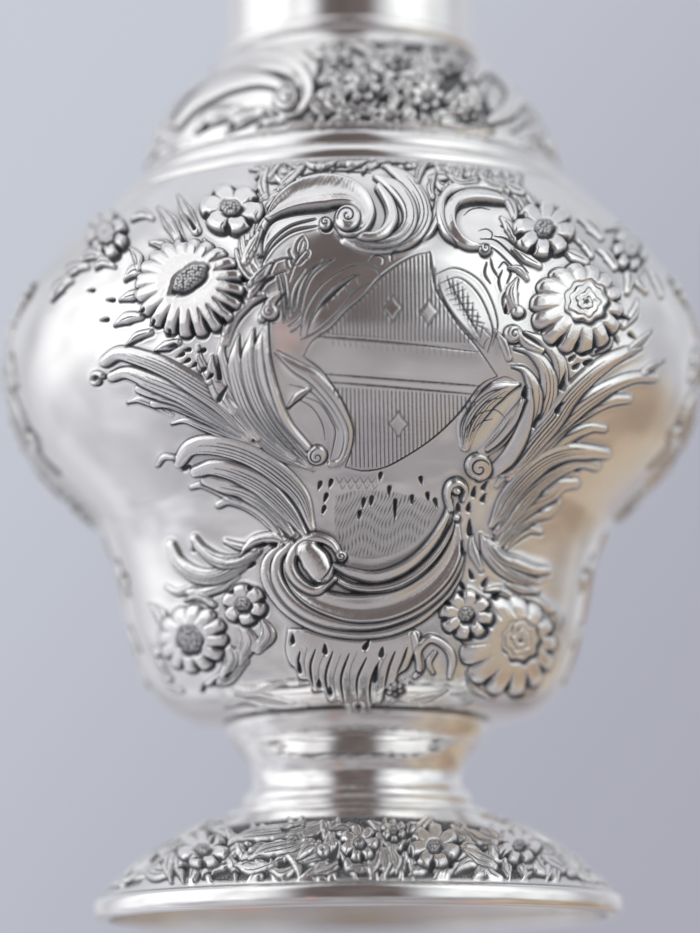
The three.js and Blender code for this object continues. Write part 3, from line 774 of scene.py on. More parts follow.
def lower_scroll(sheet):
    """The large scroll under the shield, with its eye, gutter and top curl."""
    bands(sheet, "281,545 268,560 268,580 281,602 300,618 322,628 345,633 366,634 391,630 416,619 "
          "438,600 455,577 462,552 | 3 5 6 5.5 5 4.5 4 4 4.2 4.8 5 4.5 2 | .80", keep=0.0)
    bands(sheet, "292,543 279,558 278,577 289,597 307,612 333,622 365,625 392,620 418,608 441,588 "
          "456,562 459,540 | 3 5 6 6 5.5 5 4.5 4.5 4.5 4.5 4 2 | .92", keep=0.0)
    bands(sheet, "300,546 290,562 297,582 314,597 340,606 366,608 392,603 417,591 438,572 452,547 "
          "456,520 | 3 6.5 9 11 13 13.5 13 12 10 7 2 "
          "| .9 1.1 1.2 1.25 1.3 1.3 1.3 1.25 1.2 1.0 .8", "flute", 0.0)
    bands(sheet, "332,576 350,586 372,589 394,585 414,574 432,557 446,534 452,512 "
          "| 3 3.4 3.6 3.6 3.6 3.4 3 2 | 1.0", keep=0.0)
    bands(sheet, "334,566 352,573 374,577 396,571 416,558 434,538 446,516 449,500 "
          "| 3 5 6 6 5.5 5 4 2.5 | .9", "left", 0.0)
    cuts(sheet, "338,562 354,568 374,571 396,565 415,552 432,532 443,512", .7, .06, .8)
    bands(sheet, "449,508 446,494 449,483 458,480 464,488 461,499|3.2 3.6 3.6 3.4 3.0 2.2|.95")
    ball(sheet, 455, 489, 4.6, 1.2)
    ball(sheet, 455, 517, 4, .8)
    bands(sheet, "334,578 316,590 298,580 291,562 299,545 316,537 333,544 341,560 "
          "| 3 4.5 5.5 5.5 5 5 4.5 2.5 | 1.05; 309,551 314,558 321,570 | 11.5 14 12.5 | 1.55",
          keep=0.0)
    cuts(sheet, "318,543 329,554 331,568 322,580", 1.3, .14, 1.0)
    cuts(sheet, "304,548 301,560 306,573", .7, .05, .5)
    curl(sheet, 341, 556, 5.5, 200, .7)


def upper_scroll(sheet):
    """The scroll above the shield, and the small leaves round it."""
    thicket(sheet, 262, 300, (lambda x: 162), (lambda x: 186), 10, 3, 17, 4.2, .5, 5.0)
    thicket(sheet, 300, 440, (lambda x: 154), (lambda x: 166), 11, 2, 16, 3.8, .45, 6.0)
    thicket(sheet, 440, 520, (lambda x: 166), (lambda x: 192), 11, 3, 17, 4.2, .5, 7.0)
    leaves(sheet, """512,196 520,206 524,220|2 4.5 2|.5 2; 524,190 530,200 534,208|2 4 2|.5 1
    504,184 512,190 522,194 | 2 4 2 | .5 1""")
    # long ribs that follow the shield's left side
    leaves(sheet, """236,250 240,266 250,280 258,290 | 2 4 4 2 | .5 2
    246,224 243,243 247,262 258,279 | 2 4.4 4.6 2 | .6 2
    266,196 254,212 248,232 250,252 259,270 | 2 4.6 5 4.6 2 | .7 2
    284,194 268,204 256,221 253,240 257,256 | 2 4.4 4.6 4 2 | .8 2""")
    bands(sheet, "290,206 276,212 264,225 259,240 260,255 | 1.6 3 3.4 3.2 1.6 | .7")
    leaves(sheet, """244,286 252,292 262,294|2 4 2|.5 1; 272,276 260,282 250,296|2 4.6 3|.6 2
    436,197 436,214 428,232 412,244 | 2.5 5 5 2 | .8 1
    384,167 406,182 420,203 422,222 412,238 392,247 366,248 345,241|2.5 7 8 8 7 6 5 3|.82 2
    374,178 394,190 407,208 408,226 396,240 374,244 352,238 | 3 7 7 7 6 5 3 | .95 2""")
    bands(sheet, "378,190 389,207 391,222 382,236 366,240 350,234 | 3 5 6 5.5 4.5 3 | 1.02")
    bands(sheet, "268,219 280,209 297,200 318,195 340,194 357,200 366,213 363,226 354,234 344,233 "
          "338,226 | 3 8 12.5 15 16 14 11 8.5 6.5 5 4 | .7 .9 1.05 1.1 1.1 1.1 1.05 1 1 .95 .9",
          "flute")
    curl(sheet, 347, 221, 12.5, 200, 1.25, direction=-1)
    cuts(sheet, "273,191 291,182 310,174 337,171 371,173", 1.3, .16, .95)
    curl(sheet, 325, 224, 6, 40, .6)
    engrave(sheet, "316,219 291,226 274,239 265,254 261,269; 318,226 292,232 273,246 263,262",
            1.375, .135)
    leaves(sheet, """303,168 292,178 279,190|2 4 2; 268,171 262,184 266,200|2 5 3
    286,160 276,168 270,178|2 3.5 2; 340,158 330,164 318,168|1.5 3.5 2
    372,156 362,162 348,165|1.5 3.5 2; 404,164 392,160 378,162|1.5 3.5 2
    430,160 420,170 416,184|1.5 4 2; 434,176 430,188 432,198|1.5 3.5 2
    252,196 258,206 266,214|2 4 2""", .45, 1)


def right_scroll(sheet):
    """The scroll right of the shield's top, with engraving below it."""
    bands(sheet, "506,196 490,190 468,188 450,192 441,202 439,218 444,234 455,244 "
          "| 2 3.4 4 4.2 4 4 3.6 2 | .85")
    bands(sheet, "508,204 490,199 470,198 456,202 449,212 449,226 455,238 466,246 480,248 "
          "| 2 5 6 6.4 6.2 5.6 5 4 2.4 | .8 .9 1.0 1.0 1.0 .95 .9 .8 .6", "left")
    curl(sheet, 484, 250, 6, 200, .7)
    cuts(sheet, "463,216 470,210 480,208 490,210; 478,231 486,229 492,233 490,239 485,238",
         .8, .08)
    engrave(sheet, """480,239 495,240 509,252 520,264 528,273; 476,246 492,248 506,260 516,272
    490,258 492,268 498,278; 494,236 504,238 514,246 522,256; 500,226 508,232 512,240
    498,268 504,262 510,272 506,284; 500,292 498,280 502,270; 486,262 484,274 490,284
    508,288 502,298 503,310""", 1.25, .1215)
    leaves(sheet, """508,268 518,270 526,279|2 4 2|.55 1; 516,279 511,292 514,308|2 6 3|.6 1""")
    ball(sheet, 517, 312, 6, .7)
    leaves(sheet, """446,176 458,184 474,186|2 4 2; 478,176 486,184 500,190|2 4 2
    500,196 510,206 514,218|2 5 3""", .45, 1)


def upper_flowers(sheet):
    """The large flowers above, then small roses towards the sides."""
    leaves(sheet, """158,208 170,222 180,240|3 8 5; 178,196 186,212 196,230|3 7 5
    150,243 164,246 178,256|3 6 4""", .62, 2)
    leaves(sheet, """125,280 134,272 146,270|3 6 4; 115,325 128,318 140,316|3 6 4
    120,300 132,296 142,294|3 5 4; 156,350 166,346 178,342|2 5 3; 262,232 254,246 246,262|2 5 4
    272,262 262,274 250,284|2 5 3; 128,344 138,336 150,332|2 4 3; 204,240 210,250 212,262|3 5 3
    """, .62, 1)
    flower(sheet, 232, 211, 32, 25, 6, 1.15, (9, 6.5), turn=.25)
    flower(sheet, 192, 280, 54, 49, 20, 1.3, (18, 9), (-2, 9), turn=.1, heart_angle=35)
    leaves(sheet, """578,220 590,226 600,238|3 7 3; 560,250 572,256 584,262|3 6 4
    512,250 524,258 538,266|2 5 3; 622,262 628,276 626,292|3 6 3; 612,330 604,344 592,352|3 6 3
    516,330 524,342 540,350|2 5 3; 596,250 606,256 614,268|2 5 3; 574,240 584,246 590,256|2 5 3
    636,300 632,314 622,326|2 5 3; 500,218 508,228 514,240|2 5 3""", .6, 1)
    flower(sheet, 542, 231, 31, 28, 8, 1.15, (8.5, 7.5), turn=.3)
    flower(sheet, 581, 303, 46, 45, 14, 1.3, (21, 20), (-6, 6), turn=.2, rose=True)
    flower(sheet, 108, 236, 20, 24, 7, 1.1, (9, 10), rose=True)
    flower(sheet, 628, 250, 17, 22, 7, 1.0, (8, 9), rose=True)
    leaves(sheet, """80,262 92,254 104,258|2 6 3|.6 2; 132,220 142,214 152,218|2 5 2
    96,268 104,262 114,266|2 5 2; 64,280 74,268 86,266|2 6 3|.6 2; 52,300 60,286 70,280|2 6 3|.6 2
    130,248 138,258 140,270|2 5 2; 606,230 616,226 626,230|2 5 2; 646,270 656,282 660,296|2 5 2
    640,268 636,280 644,292|2 5 2""", .6, 1)


def face_punches(sheet):
    """Teardrop punch marks over the whole face, and small ticks under the shield."""
    drops(sheet, """
    173 346 8 4 200; 186 350 8 4 190; 201 351 8 4 200; 180 355 7 4 210; 186 361 7 4 210
    194 365 7 4 215; 203 370 8 4 220; 211 376 8 4 225; 219 370 22 5 95; 223 393 17 5 60
    192 225 16 4 120; 183 240 12 4 110; 262 545 8 4 200; 274 545 8 4 180; 251 565 9 4 220
    194 547 9 4 80; 186 468 9 5 30; 485 486 9 5 60; 474 492 9 5 80; 484 498 8 5 60
    458 507 7 5 90; 469 507 8 5 80; 470 528 15 6 90; 460 548 14 6 100; 471 574 9 5 110
    461 584 9 5 120; 485 582 9 5 60; 495 595 9 5 50; 561 381 18 5 70; 556 406 12 5 60
    572 358 8 4 40; 576 366 8 4 40; 585 352 8 4 30; 597 351 8 4 20; 587 362 8 4 30
    579 470 7 5 20; 506 309 8 4 90; 293 638 9 5 90; 325 648 9 5 90; 300 667 9 5 90
    366 644 10 5 60; 381 651 9 5 80; 375 673 16 5 80; 330 688 8 5 90; 319 681 8 5 90
    330 484 8 4 250; 319 486 8 4 250; 325 498 9 4 250; 323 510 8 4 250; 371 501 9 4 260
    363 503 9 4 260; 359 515 8 4 260; 395 508 20 4 268; 412 500 8 4 270; 428 497 8 4 280
    436 503 8 4 290; 380 477 7 4 260; 389 491 8 4 265; 421 481 7 4 280; 143 311 8 4 200
    154 323 8 4 220; 170 333 8 4 240; 243 302 9 4 310; 245 280 9 4 340; 225 322 9 4 290
    110 300 8 4 180; 104 320 8 4 190; 90 290 7 4 180; 624 318 8 4 320; 632 336 8 4 320
    616 340 8 4 300; 534 420 14 4 60; 524 392 12 4 80""")
    for x in range(336, 374, 8):
        cut(sheet, [(x, 477), (x + 3, 483), (x + 7, 478)], .8, .06, .6)
        cut(sheet, [(x + 4, 484), (x + 6, 489), (x + 9, 485)], .7, .05, .5)


def draw_face(sheet):
    """One face without its shield; later work lies over earlier work."""
    for draw in (combed_ground, apron, left_leaves, lower_flowers, right_leaves, inner_loops,
                 lower_scroll, upper_scroll, right_scroll, upper_flowers, face_punches):
        draw(sheet)


# ---------------------------------------------------------------- the sides of the bowl
# Festoon flowers down the drop: height on the shell (mm), size, petals
FESTOON = [(88, 9.5, 8), (81, 13, 8), (73.5, 10.5, 7), (66.5, 12.5, 8), (59.5, 9.5, 7),
           (53.5, 8, 6)]


def up(height):
    """A height on the shell in mm, as y on the side sheet."""
    return height / UNIT


def draw_side(sheet):
    """The festoon that hangs between the two faces; y runs up the shell."""
    y = up(84)
    for s in (-1, 1):
        leaf(sheet, [(s * 96, y - up(4)), (s * 70, y - up(7.2)), (s * 40, y - up(6.0)),
                     (s * 12, y + 6)], [2, 4.5, 5, 3], .55)
        for k in range(6):
            leaf_x = s * (24 + 14 * k)
            leaf_y = y - up(4.2) - 12 * math.sin((k + 1) / 7 * math.pi) + k * 1.5
            leaf(sheet, [(leaf_x + s * 7, leaf_y - 9), (leaf_x + s * 2, leaf_y - 2),
                         (leaf_x - s * 5, leaf_y + 5)], [1.5, 4.5, 2], .6)
            leaf(sheet, [(leaf_x + s * 6, leaf_y + 11), (leaf_x + s * 1, leaf_y + 4),
                         (leaf_x - s * 5, leaf_y - 1)], [1.5, 4, 2], .55)
        flower(sheet, s * 104, y - up(2.2), 15, 15, 7, .95, (5, 5))
    for i, (height, size, petals) in enumerate(FESTOON):
        x, y = (8 if i % 2 else -7), up(height)
        for s in (-1, 1):
            leaf(sheet, [(x + s * (size + 30), y - 2), (x + s * (size + 14), y - 6 * s), (x, y)],
                 [1, 6.5, 3], .5, 2)
            leaf(sheet, [(x + s * (size + 22), y + 24), (x + s * (size + 6), y + 14), (x, y)],
                 [1, 6, 3], .5, 2)
        for s in (-1, 1):
            leaf(sheet, [(x + s * (size + 17), y + 13 - 4 * s), (x + s * (size + 7), y + 6),
                         (x, y - 4)], [1.5, 6, 3], .6, 2)
            leaf(sheet, [(x + s * (size + 13), y - 15 + 3 * s), (x + s * (size + 5), y - 8),
                         (x, y)], [1.5, 5, 3], .55, 2)
            drop(sheet, x + s * (size + 12), y + 22, 8, 4, 90 - 40 * s)
        flower(sheet, x, y, size * 1.75, size * 1.65, petals, 1.05, (size * .62, size * .6),
               turn=.13 * i, rose=(i % 3 == 1))
    for k, height in enumerate([47.8, 44.2, 41.4]):  # buds at the end of the drop
        y = up(height)
        for s in (-1, 1):
            leaf(sheet, [(s * (13 - 3 * k), y + 9), (s * (6 - k), y + 2), (0, y - 8)],
                 [1.2, 4.2 - k, 2], .5)
        ball(sheet, 0, y - 10, 3.6 - .6 * k, .55)

    def side_leaf(points, widths, height, veins):
        leaf(sheet, [(s * x, up(z)) for x, z in points], widths, height, veins)

    for s in (-1, 1):  # scrolls on each side of the drop
        side_leaf([(92, 62), (84, 68), (62, 69.5), (40, 65), (26, 59)], [3, 7, 8, 7, 3], .8, 3)
        side_leaf([(80, 58), (66, 62.5), (46, 62), (28, 57)], [2, 6, 6, 3], .7, 2)
        side_leaf([(100, 70), (92, 74), (76, 73.5), (60, 70)], [2, 5, 5, 3], .7, 2)
        curl(sheet, s * 90, up(63.4), 9, 90, .9, direction=s)
        for k in range(4):
            drop(sheet, s * (44 + 10 * k), up(71.5 + .5 * k), 8, 4, 90 - 30 * s)
        side_leaf([(66, 40), (52, 44), (30, 43), (14, 37)], [2, 6, 6, 3], .6, 2)
        curl(sheet, s * 66, up(41.6), 8, 90, .65, direction=s)
        side_leaf([(54, 33), (38, 36), (20, 34), (6, 30)], [2, 5, 5, 2], .5, 2)
        side_leaf([(30, 92), (22, 95), (6, 96)], [2, 5, 3], .5, 1)
    ball(sheet, 0, up(29.5), 5, .55)


# ---------------------------------------------------------------- the cover and foot bands
def draw_cover(sheet):
    """The cover's chased band: a large scroll to the left, flowers on a matted ground."""
    window, inset = inside(sheet, parse(
        "318,44 390,40 478,50 486,90 492,132 400,140 322,138 312,100"))
    matted_ground(sheet, window, smooth(inset, 0, 4), dot=3.4, sink=0.10, lift=0.07,
                  dark=0.95, bright=0.40)
    thicket(sheet, 322, 486, (lambda x: 46 + 8 * ((x - 354) / 130) ** 2), (lambda x: 138.0),
            11.0, 5, 24, 6.0, .80, 2.0)
    bands(sheet, "166,124 176,102 196,84 232,68 266,64 294,71 306,88 302,106 290,114 276,108 "
          "| 4 7 9 10 10 10 9 8 6 4 | .9", "flute")
    bands(sheet, "178,126 196,104 226,86 256,80 280,86 288,98 | 3 6 8 8 6 4 | .6")
    curl(sheet, 287, 100, 12, 60, .9)
    leaves(sheet, """196,132 214,116 238,112|4 9 6; 224,136 240,120 262,112|4 8 5
    252,138 266,124 284,120|3 7 4; 278,138 292,128 310,122|3 6 3; 140,140 152,128 170,124|3 6 4
    """, .65, 2)
    for x, y, size, petals in [
            (340, 62, 10, 6), (362, 88, 16, 7), (396, 62, 11, 6), (344, 120, 10, 6),
            (388, 118, 11, 6), (425, 98, 15, 7), (448, 66, 11, 6), (466, 112, 11, 6),
            (430, 128, 8, 5)]:
        for k in range(3):
            angle = k * 2.1 + x
            leaf(sheet, [
                (x + size * 1.9 * math.cos(angle), y + size * 1.5 * math.sin(angle)),
                (x + size * 1.2 * math.cos(angle + .3), y + size * math.sin(angle + .3)),
                (x, y)], [1.2, 4.2, 2], .5)
        flower(sheet, x, y, size * 1.15, size * 1.0, petals, 1.1, (size * .34, size * .32),
               turn=x * .1)
    leaves(sheet, "386,86 394,98 392,112 | 2 6 3; 330,78 338,90 342,104 | 2 6 3", .6, 2)
    bands(sheet, "488,122 508,110 514,92 502,76 484,70 474,80 | 4 8 9 9 7 4 | .85", "flute")
    leaves(sheet, "512,130 524,116 530,104 | 3 7 3; 530,138 540,128 546,118 | 3 7 3", .6, 2)
    for x in range(150, 556, 13):  # a low run of leaf tips along the lower edge
        leaf(sheet, [(x - 5, 148), (x + 1, 142), (x + 7, 146)], [1.5, 3.2, 1.5], .32, 0, dark=.6)
    drops(sheet, "300 96 16 5 80; 206 126 8 4 60; 234 126 8 4 60; 262 128 8 4 60")


def draw_foot(sheet):
    """The foot's chased band: flowers and leaves on a matted ground."""
    window, inset = inside(sheet, parse(
        "120,872 180,836 260,820 354,814 450,820 530,838 590,872 480,884 354,888 230,884"))
    matted_ground(sheet, window, smooth(inset, 0, 4), dot=3.2, sink=0.06, lift=0.06,
                  dark=0.95, bright=0.35)
    thicket(sheet, 128, 588, (lambda x: 821 + 17 * ((x - 354) / 176) ** 2),
            (lambda x: 880 - 5 * ((x - 354) / 200) ** 2), 10.5, 3, 23, 5.6, .78, 1.0)
    leaves(sheet, """
    150,864 166,846 182,838 | 2 5 3 | .6 2; 134,872 146,858 156,854 | 2 4 2 | .5 1
    228,846 248,838 276,834 304,830 328,825 | 3 7 8 7 3 | .8 3
    250,862 268,852 292,848 312,842 | 3 7 7 3 | .75 3
    236,868 252,872 276,866 | 2 4 2 | .5 1; 300,864 316,858 334,846 | 3 6 3 | .6 2
    312,876 330,870 344,858 | 3 5 2 | .55 2; 464,832 480,840 496,846 | 3 7 3 | .7 2
    462,852 478,860 494,868 | 3 7 3 | .7 2; 482,828 496,836 504,848 | 2 5 2 | .6 1
    404,872 396,862 392,850 | 2 5 3 | .6 1; 408,828 402,838 400,848 | 2 5 3 | .6 1
    330,832 344,828 352,834 | 2 4 2 | .55 1; 540,858 552,864 562,872 | 2 5 2 | .6 1
    534,836 548,846 556,856 | 2 5 2 | .6 1; 566,856 578,864 588,874 | 2 4 2 | .5 1""")
    curl(sheet, 171, 840, 8, 30, .7)
    flower(sheet, 204, 852, 26, 19, 7, 1.15, (6, 4), turn=.2)
    ball(sheet, 323, 853, 6, .8, 1.6)
    leaves(sheet, """372,876 376,862 380,850|3 6 3; 384,878 386,864 384,852|3 6 3
    396,874 396,862 390,852|3 6 3""", .65, 1)
    flower(sheet, 359, 846, 19, 18, 7, 1.2, (5, 4.5), turn=.4)
    flower(sheet, 393, 833, 13, 11, 6, 1.0, (3.2, 3))
    flower(sheet, 433, 849, 26, 22, 7, 1.2, (6, 5), turn=.1)
    flower(sheet, 517, 848, 22, 18, 7, 1.15, (5, 4), turn=.3)
    drops(sheet, """215 843 9 4 60; 200 861 9 4 200; 184 869 9 4 200; 290 832 20 4 12
    450 866 8 4 90; 340 862 8 4 90; 410 856 8 4 90; 500 858 8 4 60; 480 850 12 4 150""")


def wreath(sheet, length, count, seed):
    """A run of flowers, leaves and scrolls along x from 0 to length; it closes on itself."""
    top, low = 12, 138
    mid, half = (top + low) / 2, (low - top) / 2
    pitch = length / count
    whole = (slice(None), slice(None))
    y = sheet.ys[:, None]
    mask = smooth(y, top - 6, top) * (1 - smooth(y, low, low + 6))
    matted_ground(sheet, whole, mask, dot=3.2, sink=0.07, lift=0.06, dark=0.9, bright=0.35)
    thicket(sheet, -40, length + 40, (lambda x: top), (lambda x: low), 14.0, 6, 26, 6.2, .7, seed)
    for k in range(-1, count + 1):
        x = (k + .5) * pitch
        turn = chance(k % count, seed)
        kind = (k % count) % 3
        for s in (-1, 1):
            leaf(sheet, [(x + s * pitch * .62, mid + half * (.2 - .75 * turn) * s),
                         (x + s * pitch * .34, mid - half * .45 * s), (x, mid)],
                 [1.5, half * .34, half * .16], .55, 2)
            leaf(sheet, [(x + s * pitch * .52, mid + half * .72),
                         (x + s * pitch * .26, mid + half * .42), (x, mid)],
                 [1.5, half * .26, half * .14], .5)
            leaf(sheet, [(x + s * pitch * .50, mid - half * .76),
                         (x + s * pitch * .24, mid - half * .46), (x, mid)],
                 [1.5, half * .26, half * .14], .5)
            drop(sheet, x + s * pitch * .42, mid + half * .05, 8, 4, 90)
        if kind == 0:
            flower(sheet, x, mid, half * .82, half * .78, 8, .95, (half * .24, half * .24),
                   turn=turn)
        elif kind == 1:
            flower(sheet, x, mid + half * .1, half * .7, half * .72, 6, .9,
                   (half * .3, half * .3), turn=turn, rose=True)
        else:
            band(sheet, [(x - pitch * .42, mid + half * .6), (x - pitch * .1, mid + half * .1),
                         (x + pitch * .2, mid - half * .3), (x + pitch * .42, mid)],
                 [2, half * .3, half * .28, 3], .8, "flute")
            curl(sheet, x + pitch * .30, mid + half * .1, half * .34, 0, .85)


# ---------------------------------------------------------------- laying sheets on the shells
def to_sheet(x, y, z):
    """Where points (mm) fall on a face sheet, seen from the eye."""
    from_y = y + VIEW_DISTANCE * math.cos(PITCH)
    from_z = z - AIM_Z + VIEW_DISTANCE * math.sin(PITCH)
    deep = from_y * math.cos(PITCH) + from_z * math.sin(PITCH)
    right = EYE_TO_SHEET * x / deep
    down = -EYE_TO_SHEET * (-from_y * math.sin(PITCH) + from_z * math.cos(PITCH)) / deep
    return (SHEET_CENTRE[0] + right * math.cos(ROLL) + down * math.sin(ROLL),
            SHEET_CENTRE[1] - right * math.sin(ROLL) + down * math.cos(ROLL))


def sample(sheet, layer, x, y):
    """Bilinear reading of a sheet's layer; zero outside the sheet."""
    values = getattr(sheet, layer)
    last_row, last_column = values.shape[0] - 1.01, values.shape[1] - 1.01
    column, row = (x - sheet.x0) / STEP, (y - sheet.y0) / STEP
    on_sheet = (column >= 0) & (row >= 0) & (column < last_column) & (row < last_row)
    column, row = np.clip(column, 0, last_column), np.clip(row, 0, last_row)
    j, i = column.astype(np.int32), row.astype(np.int32)
    part_x, part_y = (column - j).astype(np.float32), (row - i).astype(np.float32)
    above = values[i, j] * (1 - part_x) + values[i, j + 1] * part_x
    below = values[i + 1, j] * (1 - part_x) + values[i + 1, j + 1] * part_x
    return np.where(on_sheet, above * (1 - part_y) + below * part_y, 0)


def unevenness(theta, length):
    """The slight waviness of hand-raised sheet, mm."""
    return 0.020 * (np.sin(3 * theta + length * 0.11) * np.cos(length * 0.19 + 2 * theta)
                    + 0.6 * np.sin(7 * theta - length * 0.23 + 1.3)
                    + 0.35 * np.sin(13 * theta + length * 0.37) * np.sin(length * 0.41))


def dressed(faces, side_sheet, side_x, side_y, theta, radius, z, face_ends):
    """The three layers: front and back sheets, giving way to the side sheet between the two
    angles of face_ends (degrees from the middle of a face)."""
    behind = np.cos(theta) < 0
    front_at = to_sheet(radius * np.sin(theta), -radius * np.cos(theta), z)
    back_at = to_sheet(-radius * np.sin(theta), radius * np.cos(theta), z)
    away = np.degrees(np.arccos(np.clip(np.abs(np.cos(theta)), 0, 1)))
    share = 1 - smooth(away, *face_ends)
    rest = 1 - share
    return [np.where(behind, sample(faces[1], layer, *back_at),
                     sample(faces[0], layer, *front_at)) * share
            + sample(side_sheet, layer, side_x, side_y) * rest for layer in LAYERS]


def chased_rows(profile, outline):
    """The rows of a profile that lie on its outline, and the length along the profile."""
    first, last = (int(np.argmin(np.hypot(profile[:, 0] - r, profile[:, 1] - z)))
                   for r, z in (outline[0], outline[-1]))
    return first, last, line_lengths(profile)


def bowl_relief(profile, theta, radius, z):
    first, last, lengths = chased_rows(profile, BOWL_OUTLINE)
    layers = [np.zeros(radius.shape, np.float32) for _ in LAYERS]
    part = slice(first, last + 1)
    theta = np.broadcast_to(theta, radius[part].shape)
    length = lengths[part]
    from_side = theta - np.where(theta >= 0, 1, -1) * math.pi / 2
    # y on the side sheet follows the length of the shell, counted from z = 34
    rise = (length - np.interp(34.0, z[part][:, 0], length))[:, None] + 34.0
    side_x = from_side * radius[part] / UNIT
    side_y = np.broadcast_to(rise * 0.915 / UNIT, side_x.shape)
    height, tarnish, matt = dressed((front_sheet, back_sheet), side_sheet, side_x, side_y,
                                    theta, radius[part], z[part], (63, 69))
    from_start, to_end = length - lengths[first], lengths[last] - length
    fade = (smooth(from_start, 0.3, 1.6) * smooth(to_end, 0.5, 2.2))[:, None]
    layers[0][part] = (height + unevenness(theta, length[:, None])) * fade
    # tarnish settles where the shell meets the collar and the mouth ring
    dark = np.maximum(tarnish * fade, 0.8 * (1 - smooth(from_start, 0.0, 0.9))[:, None])
    layers[1][part] = np.maximum(dark, 0.7 * (1 - smooth(to_end, 0.0, 0.5))[:, None])
    layers[2][part] = matt
    return layers


def band_relief(sheet, run, true_radius, outline, face_ends):
    """Relief of the cover or foot band: sheet on both faces, run round the sides."""
    def relief(profile, theta, radius, z):
        first, last, lengths = chased_rows(profile, outline)
        layers = [np.zeros(radius.shape, np.float32) for _ in LAYERS]
        part = slice(first, last + 1)
        theta = np.broadcast_to(theta, radius[part].shape)
        from_start, to_end = lengths[part] - lengths[first], lengths[last] - lengths[part]
        side_x = (theta % (2 * math.pi)) * true_radius / UNIT
        side_y = np.broadcast_to(from_start[:, None] / UNIT, side_x.shape)
        height, tarnish, matt = dressed((sheet, sheet), run, side_x, side_y, theta,
                                        radius[part], z[part], face_ends)
        fade = (smooth(from_start, 0.3, 1.3) * smooth(to_end, 0.3, 1.3))[:, None]
        seam = 1 - smooth(from_start, 0.0, 0.5) * smooth(to_end, 0.0, 0.5)
        layers[0][part] = height * fade
        layers[1][part] = np.maximum(tarnish * fade, 0.8 * seam[:, None])
        layers[2][part] = matt * fade
        return layers
    return relief


# ---------------------------------------------------------------- turned profiles
def resample(line, gap):
    lengths = line_lengths(line)
    count = max(2, int(round(lengths[-1] / gap)) + 1)
    return line_at(line, lengths, np.linspace(0, lengths[-1], count))


def line_at(line, lengths, places):
    return np.stack([np.interp(places, lengths, line[:, 0]),
                     np.interp(places, lengths, line[:, 1])], -1)


def soften(points, gap, fillet):
    """A closed profile with its corners (over 30 degrees) rounded and the rest smoothed."""
    given = np.asarray(points, float)
    count = len(given)
    corners = []
    for i in range(count):
        before, after = given[i] - given[i - 1], given[(i + 1) % count] - given[i]
        cross = before[0] * after[1] - before[1] * after[0]
        if abs(math.degrees(math.atan2(cross, before @ after))) > 30:
            corners.append(i)
    spans = []
    for a, b in zip(corners, corners[1:] + [corners[0] + count]):
        line = spline([given[k % count] for k in range(a, b + 1)], 0.1)
        spans.append(resample(line, min(gap, 0.12)))
    measured = []
    for span in spans:
        lengths = line_lengths(span)
        measured.append((span, lengths, min(fillet, lengths[-1] * 0.4)))
    parts = []
    for (span, lengths, trim), following in zip(measured, measured[1:] + measured[:1]):
        stop = lengths[-1] - trim
        samples = max(2, int(round((stop - trim) / gap)) + 1)
        kept = line_at(span, lengths, np.linspace(trim, stop, samples))
        parts.append(kept)
        next_span, next_lengths, next_trim = following
        end = line_at(next_span, next_lengths, next_trim)
        for k in (0.25, 0.5, 0.75):
            parts.append(((1 - k) ** 2 * kept[-1] + 2 * k * (1 - k) * span[-1]
                          + k * k * end)[None])
    return np.vstack(parts)


def offset_line(line, distance):
    """A line moved to its left."""
    line = np.asarray(line, float)
    tangent = np.gradient(line, axis=0)
    tangent /= np.hypot(*tangent.T)[:, None]
    return line + distance * np.stack([-tangent[:, 1], tangent[:, 0]], 1)


def build_mesh(name, vertices, face_groups, uv, attributes, materials, material_index):
    """A mesh object from vertices in mm, arrays of quads or triangles, and a UV per corner."""
    mesh = bpy.data.meshes.new(name)
    mesh.vertices.add(len(vertices))
    mesh.vertices.foreach_set("co", (vertices * MM).astype(np.float32).ravel())
    sizes = np.concatenate([np.full(len(group), group.shape[1]) for group in face_groups])
    corners = np.concatenate([group.ravel() for group in face_groups])
    mesh.loops.add(len(corners))
    mesh.loops.foreach_set("vertex_index", corners.astype(np.int32))
    mesh.polygons.add(len(sizes))
    starts = np.concatenate([[0], np.cumsum(sizes)[:-1]])
    mesh.polygons.foreach_set("loop_start", starts.astype(np.int32))
    mesh.polygons.foreach_set("use_smooth", np.ones(len(sizes), bool))
    if material_index is not None:
        mesh.polygons.foreach_set("material_index", material_index.astype(np.int32))
    mesh.update(calc_edges=True)
    mesh.uv_layers.new(name="OFBake").data.foreach_set("uv", uv.astype(np.float32).ravel())
    for key, values in attributes.items():
        attribute = mesh.attributes.new(key, "FLOAT", "POINT")
        attribute.data.foreach_set("value", values.astype(np.float32).ravel())
    ob = bpy.data.objects.new(name, mesh)
    scene.collection.objects.link(ob)
    for material in materials:
        mesh.materials.append(material)
    mesh.validate()
    return ob


